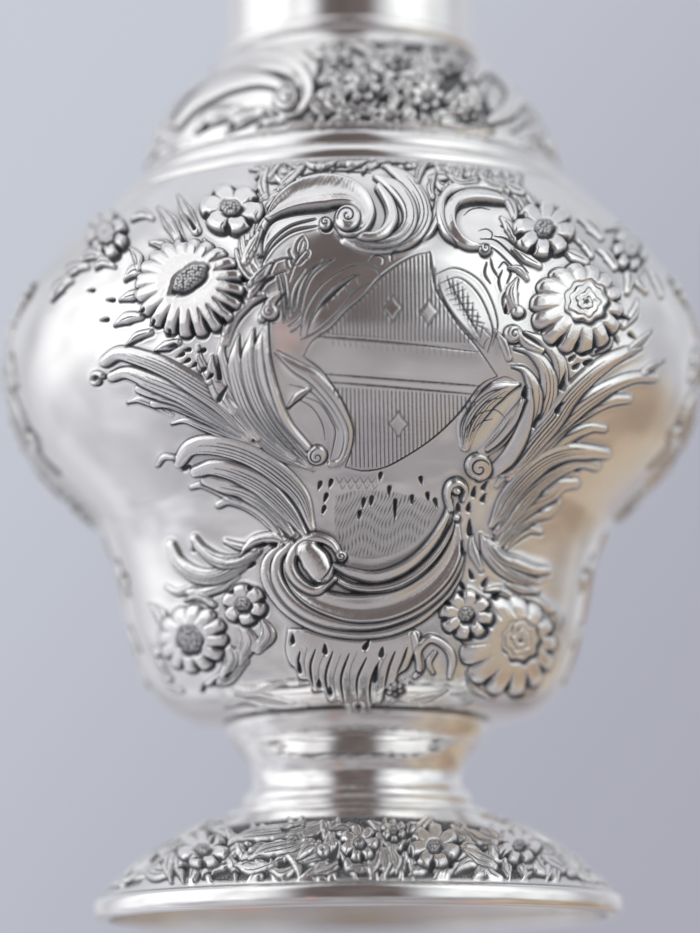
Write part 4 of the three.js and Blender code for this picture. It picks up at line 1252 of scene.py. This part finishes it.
def lathe(name, profile, columns, materials, relief=None, gilt_from=None, reorder=True):
    """Turns a profile of (radius, z) round the axis. relief gives height, tarnish with painted
    shade and matt for every vertex; rows from gilt_from on take the second material."""
    profile = np.asarray(profile, float)
    r, z = profile.T
    if reorder and np.sum(r * np.roll(z, -1) - np.roll(r, -1) * z) < 0:
        profile = profile[::-1]
    poles = profile[:, 0] < 1e-6
    count, around = len(profile), len(columns)
    tangent = np.roll(profile, -1, 0) - np.roll(profile, 1, 0)
    if poles.any():
        tangent[0], tangent[-1] = profile[1] - profile[0], profile[-1] - profile[-2]
    tangent /= np.hypot(*tangent.T)[:, None] + 1e-12
    theta = np.asarray(columns)[None, :]
    radius = np.repeat(profile[:, :1], around, 1)
    z = np.repeat(profile[:, 1:], around, 1)
    attributes = {}
    if relief is not None:
        height, tarnish, matt = relief(profile, theta, radius, z)
        radius = radius + height * tangent[:, 1:]
        z = z - height * tangent[:, :1]
        attributes = {"tarnish": tarnish, "matt": matt}
    vertices = np.stack([radius * np.sin(theta), -radius * np.cos(theta), z], -1).reshape(-1, 3)
    row_count = count - 1 if poles.any() else count
    i, j = np.arange(row_count)[:, None], np.arange(around)[None, :]
    i2, j2 = (i + 1) % count, (j + 1) % around
    quads = np.stack([i * around + j, i * around + j2, i2 * around + j2, i2 * around + j],
                     -1).reshape(-1, 4)
    lengths = line_lengths(np.vstack([profile, profile[:1]]))
    lengths = lengths / lengths[-1]
    turns = np.concatenate([columns, [columns[0] + 2 * math.pi]]) - columns[0]
    turns = turns / (2 * math.pi)
    uv = np.stack([np.stack(np.broadcast_arrays(turns[column], lengths[row]), -1)
                   for column, row in ((j, i), (j + 1, i), (j + 1, i + 1), (j, i + 1))], 2)
    uv = uv.reshape(-1, 4, 2)
    index = None
    if gilt_from is not None:
        index = np.repeat((np.arange(row_count) >= gilt_from).astype(np.int32), around)
    if not poles.any():
        return build_mesh(name, vertices, [quads], uv, attributes, materials, index)
    # the rows on the axis become one point each
    kept = np.ones(len(quads), bool)
    triangles, triangle_uv, blocks = [], [], []
    if poles[0]:
        block = slice(0, around)
        ring = quads[block]
        triangles.append(np.stack([np.zeros(around, int), ring[:, 2], ring[:, 3]], 1))
        triangle_uv.append(uv[block][:, [0, 2, 3]])
        blocks.append(block)
    if poles[-1]:
        block = slice(len(quads) - around, len(quads))
        ring = quads[block]
        pole = np.full(around, (count - 1) * around)
        triangles.append(np.stack([ring[:, 0], ring[:, 1], pole], 1))
        triangle_uv.append(uv[block][:, [0, 1, 2]])
        blocks.append(block)
    for block in blocks:
        kept[block] = False
    triangles, quads = np.vstack(triangles), quads[kept]
    used = np.unique(np.concatenate([quads.ravel(), triangles.ravel()]))
    renumber = np.zeros(len(vertices), np.int64)
    renumber[used] = np.arange(len(used))
    attributes = {key: values.ravel()[used] for key, values in attributes.items()}
    uv = np.vstack([uv[kept].reshape(-1, 2), np.vstack(triangle_uv).reshape(-1, 2)])
    if index is not None:
        index = np.concatenate([index[kept]] + [index[block] for block in blocks])
    return build_mesh(name, vertices[used], [renumber[quads], renumber[triangles]], uv,
                      attributes, materials, index)


def hand_over(ob, body, node=None):
    if node:
        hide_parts(node)
    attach(ob, body)


# ---------------------------------------------------------------- materials
class Tree:
    """A short way to write shader nodes."""

    def __init__(self, tree):
        self.tree = tree
        self.tree.nodes.clear()

    def node(self, kind, **settings):
        node = self.tree.nodes.new(kind)
        for key, value in settings.items():
            setattr(node, key, value)
        return node

    def put(self, socket, value):
        if hasattr(value, "is_output"):
            self.tree.links.new(value, socket)
        elif isinstance(value, (tuple, list)) and len(value) == 3 and socket.type == "RGBA":
            socket.default_value = (*value, 1)
        else:
            socket.default_value = value

    def math(self, operation, a, b=0.0, clamp=False):
        node = self.node("ShaderNodeMath", operation=operation, use_clamp=clamp)
        self.put(node.inputs[0], a)
        self.put(node.inputs[1], b)
        return node.outputs[0]

    def ramp(self, value, start, stop, low=0.0, high=1.0):
        node = self.node("ShaderNodeMapRange", interpolation_type="SMOOTHSTEP")
        self.put(node.inputs[0], value)
        for i, number in enumerate((start, stop, low, high), 1):
            node.inputs[i].default_value = number
        return node.outputs[0]

    def mix(self, factor, a, b, kind="RGBA"):
        node = self.node("ShaderNodeMix", data_type=kind)
        sockets, output = {"RGBA": ((0, 6, 7), 2), "FLOAT": ((0, 2, 3), 0)}[kind]
        for i, value in zip(sockets, (factor, a, b)):
            self.put(node.inputs[i], value)
        return node.outputs[output]

    def noise(self, place, scale, detail=3.0, roughness=0.5, stretch=None):
        if stretch:
            mapping = self.node("ShaderNodeMapping")
            self.put(mapping.inputs[0], place)
            mapping.inputs[3].default_value = stretch
            place = mapping.outputs[0]
        node = self.node("ShaderNodeTexNoise")
        self.put(node.inputs["Vector"], place)
        node.inputs["Scale"].default_value = scale
        node.inputs["Detail"].default_value = detail
        node.inputs["Roughness"].default_value = roughness
        return node.outputs[0]


def metal(name, base, shade, roughness, wear=1.0):
    """Polished metal with faint smudges and hairlines; it darkens where 'tarnish' is high, which
    holds real tarnish and painted shade.
    """
    material = bpy.data.materials.new(name)
    material.use_nodes = True
    t = Tree(material.node_tree)
    place = t.node("ShaderNodeTexCoord").outputs["Object"]
    tarnish = t.node("ShaderNodeAttribute", attribute_name="tarnish").outputs["Fac"]
    matt = t.node("ShaderNodeAttribute", attribute_name="matt").outputs["Fac"]
    smudge = t.noise(place, scale=45.0, detail=4.0, roughness=0.6)
    fine = t.noise(place, scale=420.0, detail=5.0, roughness=0.65)
    hair = t.noise(place, scale=700.0, detail=2.0, roughness=0.5, stretch=(1.0, 1.0, 9.0))
    colour = t.mix(t.ramp(smudge, start=0.35, stop=0.75), base, shade)
    speckle = t.math("MULTIPLY", t.ramp(fine, start=0.58, stop=0.80), 0.22)
    colour = t.mix(speckle, colour, shade)
    uneven = t.math("ADD", 0.82, t.math("MULTIPLY", fine, 0.3))
    dark = t.math("MULTIPLY", t.math("MULTIPLY", tarnish, uneven, clamp=True), 0.98)
    # the near-black of real tarnish and of painted shade on the far sides of the work
    patina_and_shade_colour = (0.014, 0.019, 0.030)
    colour = t.mix(dark, colour, patina_and_shade_colour)
    # what smudges, hairlines, matt tooling and tarnish with painted shade each add to the roughness
    smudged = t.math("MULTIPLY", t.ramp(smudge, start=0.40, stop=0.80), 0.06 * wear)
    scratched = t.math("MULTIPLY", t.ramp(hair, start=0.55, stop=0.75), 0.05 * wear)
    rough = t.math("ADD", t.math("ADD", roughness, smudged), scratched)
    rough = t.math("ADD", rough, t.math("MULTIPLY", matt, 0.16))
    rough = t.math("ADD", rough, t.math("MULTIPLY", dark, 0.30), clamp=True)
    bump = t.node("ShaderNodeBump")
    bump.inputs["Strength"].default_value = 0.25 * wear
    bump.inputs["Distance"].default_value = 0.00003
    t.put(bump.inputs["Height"], t.math("ADD", fine, t.math("MULTIPLY", hair, 0.5)))
    shader = t.node("ShaderNodeBsdfPrincipled")
    t.put(shader.inputs["Base Color"], colour)
    t.put(shader.inputs["Roughness"], rough)
    t.put(shader.inputs["Metallic"], t.math("SUBTRACT", 1.0, t.math("MULTIPLY", dark, 0.75)))
    shader.inputs["Specular IOR Level"].default_value = 0.3
    t.put(shader.inputs["Normal"], bump.outputs[0])
    t.put(t.node("ShaderNodeOutputMaterial").inputs["Surface"], shader.outputs[0])
    return material


BRIGHT = {"base": (0.955, 0.945, 0.935), "shade": (0.90, 0.885, 0.875)}
SILVER = metal("silver_plain", **BRIGHT, roughness=0.075)
CHASED = metal("silver_work", **BRIGHT, roughness=0.10)
GILT = metal("silver_gilding", base=(0.98, 0.73, 0.34), shade=(0.90, 0.64, 0.27), roughness=0.16)
BRASS = metal("brass_parts", base=(0.80, 0.60, 0.30), shade=(0.62, 0.45, 0.22),
              roughness=0.28, wear=1.6)
UNDER = metal("silver_under", base=(0.86, 0.84, 0.81), shade=(0.70, 0.68, 0.66),
              roughness=0.26, wear=1.5)


# ---------------------------------------------------------------- the drawn sheets
FACE_AREA = (-10, 120, 720, 730)
front_sheet = Sheet(*FACE_AREA)
draw_face(front_sheet)
back_sheet = Sheet(*FACE_AREA)
for layer in LAYERS:
    setattr(back_sheet, layer, getattr(front_sheet, layer).copy())
crest(front_sheet)
shield(front_sheet)
shield(back_sheet)
finish_sheet(front_sheet, pillow=0.24)
finish_sheet(back_sheet, pillow=0.24)


def drawn(area, draw, pillow):
    sheet = Sheet(*area)
    draw(sheet)
    finish_sheet(sheet, pillow)
    return sheet


def drawn_run(radius, end_y, count, seed, pillow):
    """A wreath sheet as long as the girth at a radius, with a margin at both ends."""
    length = 2 * math.pi * radius / UNIT
    return drawn((-150, -6, length + 150, end_y),
                 lambda sheet: wreath(sheet, length, count, seed), pillow)


side_sheet = drawn((-190, 180, 190, 760), draw_side, pillow=0.24)
cover_sheet = drawn((120, 20, 590, 170), draw_cover, pillow=0.15)
foot_sheet = drawn((90, 790, 630, 910), draw_foot, pillow=0.12)
foot_sheet.tarnish *= 0.92
cover_run = drawn_run(COVER_RADIUS, end_y=160, count=10, seed=0.0, pillow=0.15)
foot_run = drawn_run(FOOT_RADIUS, end_y=156, count=12, seed=3.0, pillow=0.12)


# ---------------------------------------------------------------- the chased shells
def face_columns(coarse):
    """Column angles, closest on the front face; the spacing is in degrees."""
    arcs = [(-180, -72, 0.34), (-72, -42, 0.20), (-42, 42, 0.12), (42, 72, 0.20),
            (72, 180, 0.34)]
    return np.radians(np.concatenate([
        np.linspace(a, b, max(4, int((b - a) / (gap * coarse))), endpoint=False)
        for a, b, gap in arcs]))


def round_columns(count):
    return np.linspace(-math.pi, math.pi, count, endpoint=False)


COARSE = 1.0
BAND_COLUMNS = face_columns(1.6 * COARSE)

# Outlines of the shells' outer faces and all turned profiles: radius, z (mm)
BOWL_OUTLINE = parse("""
    17.8,27.1 20.0,27.2 22.6,27.6 25.0,28.5 27.3,30.4 29.2,33.6 30.6,37.6 31.7,42.4 32.6,46.6
    33.7,50.5 35.35,53.7 38.1,56.6 41.1,59.6 44.3,63.4 46.5,67.6 47.8,72.0 48.2,76.3 47.8,80.5
    46.1,84.7 43.4,88.7 40.3,92.3 37.0,95.6 34.4,98.0""")
BOWL_UNDER = np.array(parse("0.0,24.2 14.9,24.2 15.5,25.2 15.9,26.4 16.5,27.05 17.8,27.1"))
BOWL_FLOOR = parse("17.0,28.0 15.3,27.3 14.5,26.1 13.8,25.1 8.0,25.1 0.0,25.1")
DOME_OUTLINE = parse("29.2,103.2 28.8,105.4 27.7,108.6 26.2,111.2 24.0,113.8 21.2,116.4 "
                     "18.9,118.8 18.1,120.4")
FOOT_OUTLINE = parse("34.9,2.8 34.0,3.7 32.3,5.1 29.7,7.3 26.6,9.4 22.9,11.4 20.2,12.7 "
                     "18.0,13.8")


def make_bowl():
    mouth_z = BOWL_OUTLINE[-1][1]
    outer = resample(spline(BOWL_OUTLINE, 0.1), ROW)
    inner = offset_line(resample(spline(BOWL_OUTLINE, 0.2), 1.0), WALL)
    inner = inner[(inner[:, 1] < mouth_z) & (inner[:, 1] > 28.2)][::-1]
    profile = np.vstack([
        resample(BOWL_UNDER[:2], 1.5)[:-1], resample(BOWL_UNDER[1:], 0.3)[:-1], outer,
        [(33.4, mouth_z), (inner[0][0] + 0.1, mouth_z)], inner, BOWL_FLOOR])
    bowl = lathe("bowl_chased", profile, face_columns(COARSE), [CHASED, GILT], bowl_relief,
                 gilt_from=len(profile) - len(inner) - len(BOWL_FLOOR))
    hand_over(bowl, "vessel", "bowl")


def make_band_shell(name, node, body, outline, top_edge, last_point, relief):
    """A domed shell with a chased outside; top_edge and last_point close its profile."""
    outer = resample(spline(outline, 0.1), ROW * 1.1)
    inner = offset_line(resample(spline(outline, 0.2), 1.2), WALL)[1:-1][::-1]
    profile = np.vstack([outer, top_edge, inner, [last_point]])
    shell = lathe(name, profile, BAND_COLUMNS, [CHASED], relief)
    hand_over(shell, body, node)


make_bowl()
make_band_shell(
    "cover_dome_chased", "cover_dome", "cover", DOME_OUTLINE,
    parse("17.4,120.4 15.6,120.4 15.6,119.5 17.2,119.5"), (28.3, 103.2),
    band_relief(cover_sheet, cover_run, COVER_RADIUS, DOME_OUTLINE, (60, 68)))
make_band_shell(
    "foot_dome_chased", "foot_dome", "vessel", FOOT_OUTLINE,
    parse("17.2,13.8 15.9,13.8 15.9,12.9 17.6,12.9"), (33.9, 2.8),
    band_relief(foot_sheet, foot_run, FOOT_RADIUS, FOOT_OUTLINE, (56, 64)))


# ---------------------------------------------------------------- the turned rings
RING_COLUMNS = round_columns(240)
# name, node, body, row gap and corner round (mm), closed profile
RINGS = [
    ("foot_band_turned", "foot_band", "vessel", 0.35, 0.18,
     "33.9,0 35.3,0 35.75,0.3 35.9,0.8 35.9,2.1 35.75,2.5 35.3,2.8 33.9,2.8"),
    ("foot_fillet_turned", "foot_fillet_ring", "vessel", 0.2, 0.12,
     "15.0,13.8 17.9,13.8 17.6,14.4 16.5,14.8 15.9,15.1 15.0,15.1"),
    ("stem_bead_turned", "stem_bead_ring", "vessel", 0.2, 0.12,
     "13.3,15.1 15.5,15.1 15.7,15.8 15.4,16.6 14.8,17.4 13.3,17.4"),
    ("stem_spool_turned", "stem_spool", "vessel", 0.25, 0.1,
     "14.5,17.4 14.25,18.4 14.4,19.8 15.0,21.2 16.0,22.6 16.8,23.4 15.7,23.4 14.9,22.7 "
     "13.9,21.2 13.3,19.6 13.3,17.4"),
    ("stem_collar_turned", "stem_collar", "vessel", 0.2, 0.1,
     "13.4,23.4 16.4,23.4 17.0,24.1 17.6,25.2 17.9,26.2 17.7,26.9 17.1,26.9 16.7,26.2 "
     "16.2,25.2 15.4,24.2 13.4,24.2"),
    ("mouth_ring_turned", "bowl_mouth_ring", "vessel", 0.25, 0.14,
     "29.4,98.0 33.7,98.0 33.4,99.1 32.6,100.1 31.6,100.7 30.6,101.0 29.4,101.0"),
    ("cover_rim_turned", "cover_rim", "cover", 0.25, 0.12,
     "26.8,101.0 30.4,101.0 30.2,101.8 29.8,102.6 29.3,103.2 26.8,103.2"),
    ("cover_bezel_turned", "cover_bezel", "cover", 0.5, 0.15,
     "28.0,94.5 28.9,94.5 28.9,101.0 28.0,101.0"),
    ("drum_base_turned", "drum_base_ring", "cover", 0.2, 0.12,
     "16.1,120.4 18.0,120.4 18.3,121.0 18.2,121.8 17.6,122.4 16.1,122.4"),
    ("drum_turned", "drum", "cover", 0.6, 0.1,
     "16.3,122.4 17.4,122.4 17.25,125.5 17.2,130.0 17.2,136.0 16.3,136.0"),
    ("drum_top_turned", "drum_top_ring", "cover", 0.2, 0.12,
     "15.8,136 17.6,136 18.2,136.6 18.2,137.5 17.6,138.2 16.9,138.6 15.8,138.6"),
    ("cover_cap_turned", "cover_cap", "cover", 0.2, 0.1,
     "16.6,138.6 16.3,140.5 15.2,143.0 13.0,145.6 10.0,147.6 7.0,149.1 4.8,150.4 4.0,151.6 "
     "1.7,151.6 1.7,149.4 3.6,149.4 6.5,148.25 9.6,146.75 12.4,144.85 14.4,142.6 15.4,140.3 "
     "15.7,138.6"),
    ("finial_knop_turned", "finial_knop", "cover", 0.15, 0.1,
     "1.7,151.6 3.6,151.6 3.9,152.4 3.3,153.1 3.1,153.7 4.6,154.4 5.9,155.8 6.3,157.3 "
     "5.8,158.8 4.4,160.0 3.1,160.6 2.9,161.0 3.2,161.4 1.7,161.4"),
]
# Finishes and columns of the rings that aren't plain silver
SPECIAL = {
    "cover_bezel": (GILT, "silver_gilt", RING_COLUMNS),
    "cover_cap": (CHASED, "silver_chased", round_columns(720)),
    "finial_knop": (CHASED, "silver_chased", round_columns(360)),
}
for name, node, body, gap, fillet, profile in RINGS:
    material, slot, columns = SPECIAL.get(node, (SILVER, "silver_polished", RING_COLUMNS))
    softened = soften(parse(profile), gap * (1.0), fillet)
    hand_over(lathe(name, softened, columns, [material]), body, node)


# ---------------------------------------------------------------- the cross
CROSS_Z = 177.3      # mm, where the arms meet
CROSS_HALF = 1.0     # mm, half its thickness at the outline
HUB = 1.5            # mm, half the width of the square where the arms meet
BOSS_RADIUS, BOSS_RISE = 2.1, 0.95


def make_cross_foot():
    stem = parse("3.0,161.4 3.3,162.1 3.0,162.9 2.6,163.6 2.7,165.2 3.3,166.0 3.0,166.8")
    profile = np.vstack([resample(spline([(0.0, 161.4), stem[0]], .1), 1.0)[:-1],
                         resample(spline(stem, .1), 0.15), [(1.5, 167.3), (0.0, 167.4)]])
    foot = lathe("finial_cross_foot", profile, round_columns(96), [SILVER])
    hand_over(foot, "cover")


def cross_height(inset):
    """Half thickness at a distance (mm) inside the outline: a rounded edge, a flat border and
    a sunk field."""
    inset = np.asarray(inset, float)
    edge = np.sqrt(np.maximum(0.2 ** 2 - (0.2 - np.minimum(inset, 0.2)) ** 2, 0))
    return CROSS_HALF + edge - 0.28 * smooth(inset, 0.55, 0.80)


def stretch_foot(z):
    """Draws out the lowest arm so that it runs down into the turned foot."""
    return np.where(z < -3.0, -3.0 - (-3.0 - z) * 9.7 / 5.7, z)


def cross_patch(bm, x, z, inset):
    """The front and back of one patch of the cross, from its grid of points."""
    z = stretch_foot(z)
    half_thickness = cross_height(inset)
    row_count, column_count = x.shape
    for side in (-1, 1):
        grid = [[bm.verts.new((x[i, j] * MM, side * half_thickness[i, j] * MM,
                               (CROSS_Z + z[i, j]) * MM)) for j in range(column_count)]
                for i in range(row_count)]
        for i in range(row_count - 1):
            for j in range(column_count - 1):
                bm.faces.new((grid[i][j], grid[i][j + 1], grid[i + 1][j + 1], grid[i + 1][j]))


def make_cross():
    bm = bmesh.new()
    half = [0.0, 0.12, 0.24, 0.36, 0.47, 0.56, 0.64, 0.70, 0.76, 0.81, 0.86, 0.90, 0.93, 0.955,
            0.975, 0.99, 1.0]
    across = np.array([-q for q in half[:0:-1]] + half)
    outward = np.concatenate([np.linspace(0, 0.86, 26), [
        0.88, 0.90, 0.915, 0.93, 0.945, 0.957, 0.967, 0.976, 0.984, 0.991, 0.996, 1.0]])
    # one flared arm with a bowed end, pointing up; closer points near its outline
    share_x, share_y = np.meshgrid(across, outward)
    width = HUB + 1.8 * share_y ** 1.9
    end = 8.7 - 0.9 * np.cos(math.pi * share_x / 2)
    arm_x, arm_y = share_x * width, HUB + share_y * (end - HUB)
    inset = np.minimum((1 - np.abs(share_x)) * width, (1 - share_y) * (end - HUB))
    last = len(outward) - 1
    rim_at = ([(i, 0) for i in range(last + 1)] + [(last, j) for j in range(1, len(across))]
              + [(i, -1) for i in range(last - 1, -1, -1)])
    for cosine, sine in ((1, 0), (0, 1), (-1, 0), (0, -1)):
        turned_x, turned_y = arm_x * cosine - arm_y * sine, arm_x * sine + arm_y * cosine
        cross_patch(bm, turned_x, turned_y, inset)
        # the wall round this arm's outline
        wall_z = stretch_foot(turned_y)
        wall = [[bm.verts.new((turned_x[at] * MM, depth * MM, (CROSS_Z + wall_z[at]) * MM))
                 for depth in (-CROSS_HALF, -0.33, 0.33, CROSS_HALF)] for at in rim_at]
        for a, b in zip(wall, wall[1:]):
            for i in range(3):
                bm.faces.new((a[i], a[i + 1], b[i + 1], b[i]))
    hub_x, hub_y = np.meshgrid(across * HUB, across * HUB)
    cross_patch(bm, hub_x, hub_y, np.hypot(HUB - np.abs(hub_x), HUB - np.abs(hub_y)))
    bmesh.ops.remove_doubles(bm, verts=bm.verts, dist=0.004 * MM)
    bmesh.ops.recalc_face_normals(bm, faces=bm.faces)
    for face in bm.faces:
        face.smooth = True
    for edge in bm.edges:
        if len(edge.link_faces) == 2 and edge.calc_face_angle(0.0) > math.radians(48):
            edge.smooth = False
    mesh = bpy.data.meshes.new("finial_cross_plate")
    bm.to_mesh(mesh)
    bm.free()
    cross = bpy.data.objects.new("finial_cross_plate", mesh)
    scene.collection.objects.link(cross)
    mesh.materials.append(SILVER)
    hand_over(cross, "cover", "finial_cross")


def make_boss(side, name):
    """A small boss where the arms meet; side is -1 in front and 1 behind."""
    profile = [(0.0, BOSS_RISE)]
    for angle in np.linspace(0, math.pi / 2, 10)[-2::-1]:
        profile.append((BOSS_RADIUS * math.cos(angle), BOSS_RISE * math.sin(angle)))
    profile += [(BOSS_RADIUS, -0.35), (0.0, -0.35)]
    boss = lathe(name, profile, round_columns(48), [SILVER], reorder=False)
    for vertex in boss.data.vertices:
        x, y, z = vertex.co
        vertex.co = (x, side * (z + BOSS_RISE * MM), CROSS_Z * MM + y * -side)
    boss.data.update()
    if side < 0:
        boss.data.flip_normals()
    hand_over(boss, "cover")


make_cross_foot()
make_cross()
make_boss(-1, "finial_boss_front")
make_boss(1, "finial_boss_back")


# ---------------------------------------------------------------- parts that keep their meshes
def finish_part(node, material):
    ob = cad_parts[node]
    if ob.data.materials:
        for material_slot in ob.material_slots:
            material_slot.material = material
    else:
        ob.data.materials.append(material)


finish_part("bowl_boss", UNDER)
for node in ("tie_bolt", "foot_plate", "tie_washer", "tie_nut", "finial_stud", "finial_washer",
             "finial_nut"):
    finish_part(node, BRASS)


# ---------------------------------------------------------------- floor
def floor_material():
    """Pale and diffuse from above, clear from below and far from the axis."""
    material = bpy.data.materials.new("studio_floor")
    material.use_nodes = True
    t = Tree(material.node_tree)
    geometry = t.node("ShaderNodeNewGeometry")
    cloud = t.noise(t.node("ShaderNodeTexCoord").outputs["Object"], scale=3.0, detail=4.0)
    diffuse = t.node("ShaderNodeBsdfDiffuse")
    t.put(diffuse.inputs[0], t.mix(cloud, (0.72, 0.73, 0.79), (0.78, 0.79, 0.85)))
    clear = t.node("ShaderNodeBsdfTransparent")
    blend = t.node("ShaderNodeMixShader")
    far = t.node("ShaderNodeVectorMath", operation="LENGTH")
    t.put(far.inputs[0], geometry.outputs["Position"])
    fade = t.ramp(far.outputs["Value"], start=0.13, stop=0.42)
    t.put(blend.inputs[0], t.math("MAXIMUM", geometry.outputs["Backfacing"], fade))
    t.put(blend.inputs[1], diffuse.outputs[0])
    t.put(blend.inputs[2], clear.outputs[0])
    t.put(t.node("ShaderNodeOutputMaterial").inputs[0], blend.outputs[0])
    return material


def make_floor():
    """Two rings of quads, open in the middle under the foot."""
    material = floor_material()
    mesh = bpy.data.meshes.new("floor")
    sides = 96
    points = [(radius * math.cos(k * 2 * math.pi / sides), radius * math.sin(k * 2 * math.pi / sides),
               -0.0004) for radius in (0.0350, 0.3, 8.0) for k in range(sides)]
    faces = [(a * sides + k, (a + 1) * sides + k, (a + 1) * sides + (k + 1) % sides,
              a * sides + (k + 1) % sides) for a in (0, 1) for k in range(sides)]
    mesh.from_pydata(points, [], faces)
    floor = bpy.data.objects.new("floor", mesh)
    mesh.materials.append(material)
    scene.collection.objects.link(floor)
    floor.visible_glossy = False


make_floor()

# ---------------------------------------------------------------- light round the object
# Each patch: azimuth from, to (0 in front, 90 on the right), elevation from, to, softness of
# each (degrees); then its colour. Later patches lie over earlier ones.
LIGHTS = [
    ((-181, 181, 60, 96, 1, 8), (0.82, 0.83, 0.86)),
    ((-155, -78, -48, 4, 18, 16), (0.68, 0.68, 0.72)),
    ((-78, -30, -62, -6, 12, 10), (0.50, 0.49, 0.51)),
    ((-34, 64, -75, -7, 14, 6), (0.345, 0.325, 0.335)),
    ((-60, 50, -74, -38, 16, 12), (0.44, 0.42, 0.43)),
    ((60, 152, -66, -3, 14, 8), (0.47, 0.40, 0.32)),
    ((96, 134, -50, -8, 12, 8), (0.42, 0.32, 0.24)),
    ((154, 181, -64, -6, 8, 8), (0.37, 0.34, 0.35)),
    ((-181, 181, -91, -66, 1, 9), (0.33, 0.31, 0.325)),
    ((-122, -37, -6, 62, 12, 6), (0.98, 0.98, 1.00)),
    ((-104, -60, 0, 36, 10, 8), (1.32, 1.33, 1.36)),
    ((31, 102, -5, 56, 10, 5), (0.82, 0.84, 0.85)),
    ((42, 78, 14, 50, 10, 8), (1.25, 1.28, 1.28)),
    ((-29, 24, -7, 80, 9, 4), (0.145, 0.122, 0.118)),
    ((118, 150, -65, -54, 6, 4), (0.58, 0.25, 0.25)),
    ((-23, -18, -34, -4, 2, 8), (0.42, 0.31, 0.29)),
]


def make_world():
    world = bpy.data.worlds.new("studio")
    scene.world = world
    world.use_nodes = True
    t = Tree(world.node_tree)
    place = t.node("ShaderNodeTexCoord")
    x, y, z = (split := t.node("ShaderNodeSeparateXYZ")).outputs
    t.put(split.inputs[0], place.outputs["Generated"])
    degrees = 180 / math.pi
    azimuth = t.math("MULTIPLY", t.math("ARCTAN2", x, t.math("MULTIPLY", y, -1.0)), degrees)
    elevation = t.math("MULTIPLY", t.math("ARCSINE", z), degrees)

    def between(angle, start, stop, soft):
        return t.math("MULTIPLY", t.ramp(angle, start - soft, start + soft),
                      t.math("SUBTRACT", 1.0, t.ramp(angle, stop - soft, stop + soft)))

    sky = t.mix(t.ramp(elevation, start=-18, stop=12), (0.43, 0.42, 0.45), (0.62, 0.63, 0.67))
    for (left, right, low, high, soft_side, soft_height), colour in LIGHTS:
        patch = t.math("MULTIPLY", between(azimuth, left, right, soft_side),
                       between(elevation, low, high, soft_height))
        sky = t.mix(patch, sky, colour)
    cloud = t.noise(place.outputs["Generated"], scale=3.2, detail=3.0, roughness=0.5)
    cloud = t.ramp(cloud, start=0.32, stop=0.68, low=0.84, high=1.16)
    # the camera sees a plain backdrop, darker towards the lower right as painted shade
    view = t.node("ShaderNodeSeparateXYZ")
    t.put(view.inputs[0], place.outputs["Window"])
    lower_right = t.math("ADD", view.outputs[0], t.math("SUBTRACT", 1.0, view.outputs[1]))
    fade = t.ramp(t.math("MULTIPLY", lower_right, 0.5), start=0.0, stop=1.0)
    backdrop = t.mix(fade, (0.575, 0.60, 0.67), (0.405, 0.41, 0.475))
    camera_ray = t.node("ShaderNodeLightPath").outputs["Is Camera Ray"]
    background = t.node("ShaderNodeBackground")
    t.put(background.inputs[1], t.mix(camera_ray, cloud, 1.0, "FLOAT"))
    t.put(background.inputs[0], t.mix(camera_ray, sky, backdrop))
    t.put(t.node("ShaderNodeOutputWorld").inputs[0], background.outputs[0])


def make_camera():
    data = bpy.data.cameras.new("camera")
    camera = bpy.data.objects.new("camera", data)
    scene.collection.objects.link(camera)
    data.lens = 138.90675
    data.sensor_width = 36
    data.sensor_fit = "AUTO"
    data.clip_start = 0.01
    data.clip_end = 50
    look = Vector((0, math.cos(PITCH), math.sin(PITCH)))
    camera.location = Vector((-0.557, -VIEW_DISTANCE * math.cos(PITCH),
                              AIM_Z - VIEW_DISTANCE * math.sin(PITCH))) * MM
    camera.rotation_mode = "QUATERNION"
    camera.rotation_quaternion = (look.to_track_quat("-Z", "Y")
                                  @ Quaternion((0, 0, 1), -ROLL))
    focus = bpy.data.objects.new("sharp_at", None)
    focus.location = (0, -0.039, 0.066)
    scene.collection.objects.link(focus)
    data.dof.use_dof = True
    data.dof.focus_object = focus
    data.dof.aperture_fstop = 6.6
    scene.camera = camera


make_world()
make_camera()
scene.view_settings.view_transform = "Standard"
scene.cycles.use_denoising = True
scene.cycles.max_bounces = 8
scene.cycles.glossy_bounces = 6
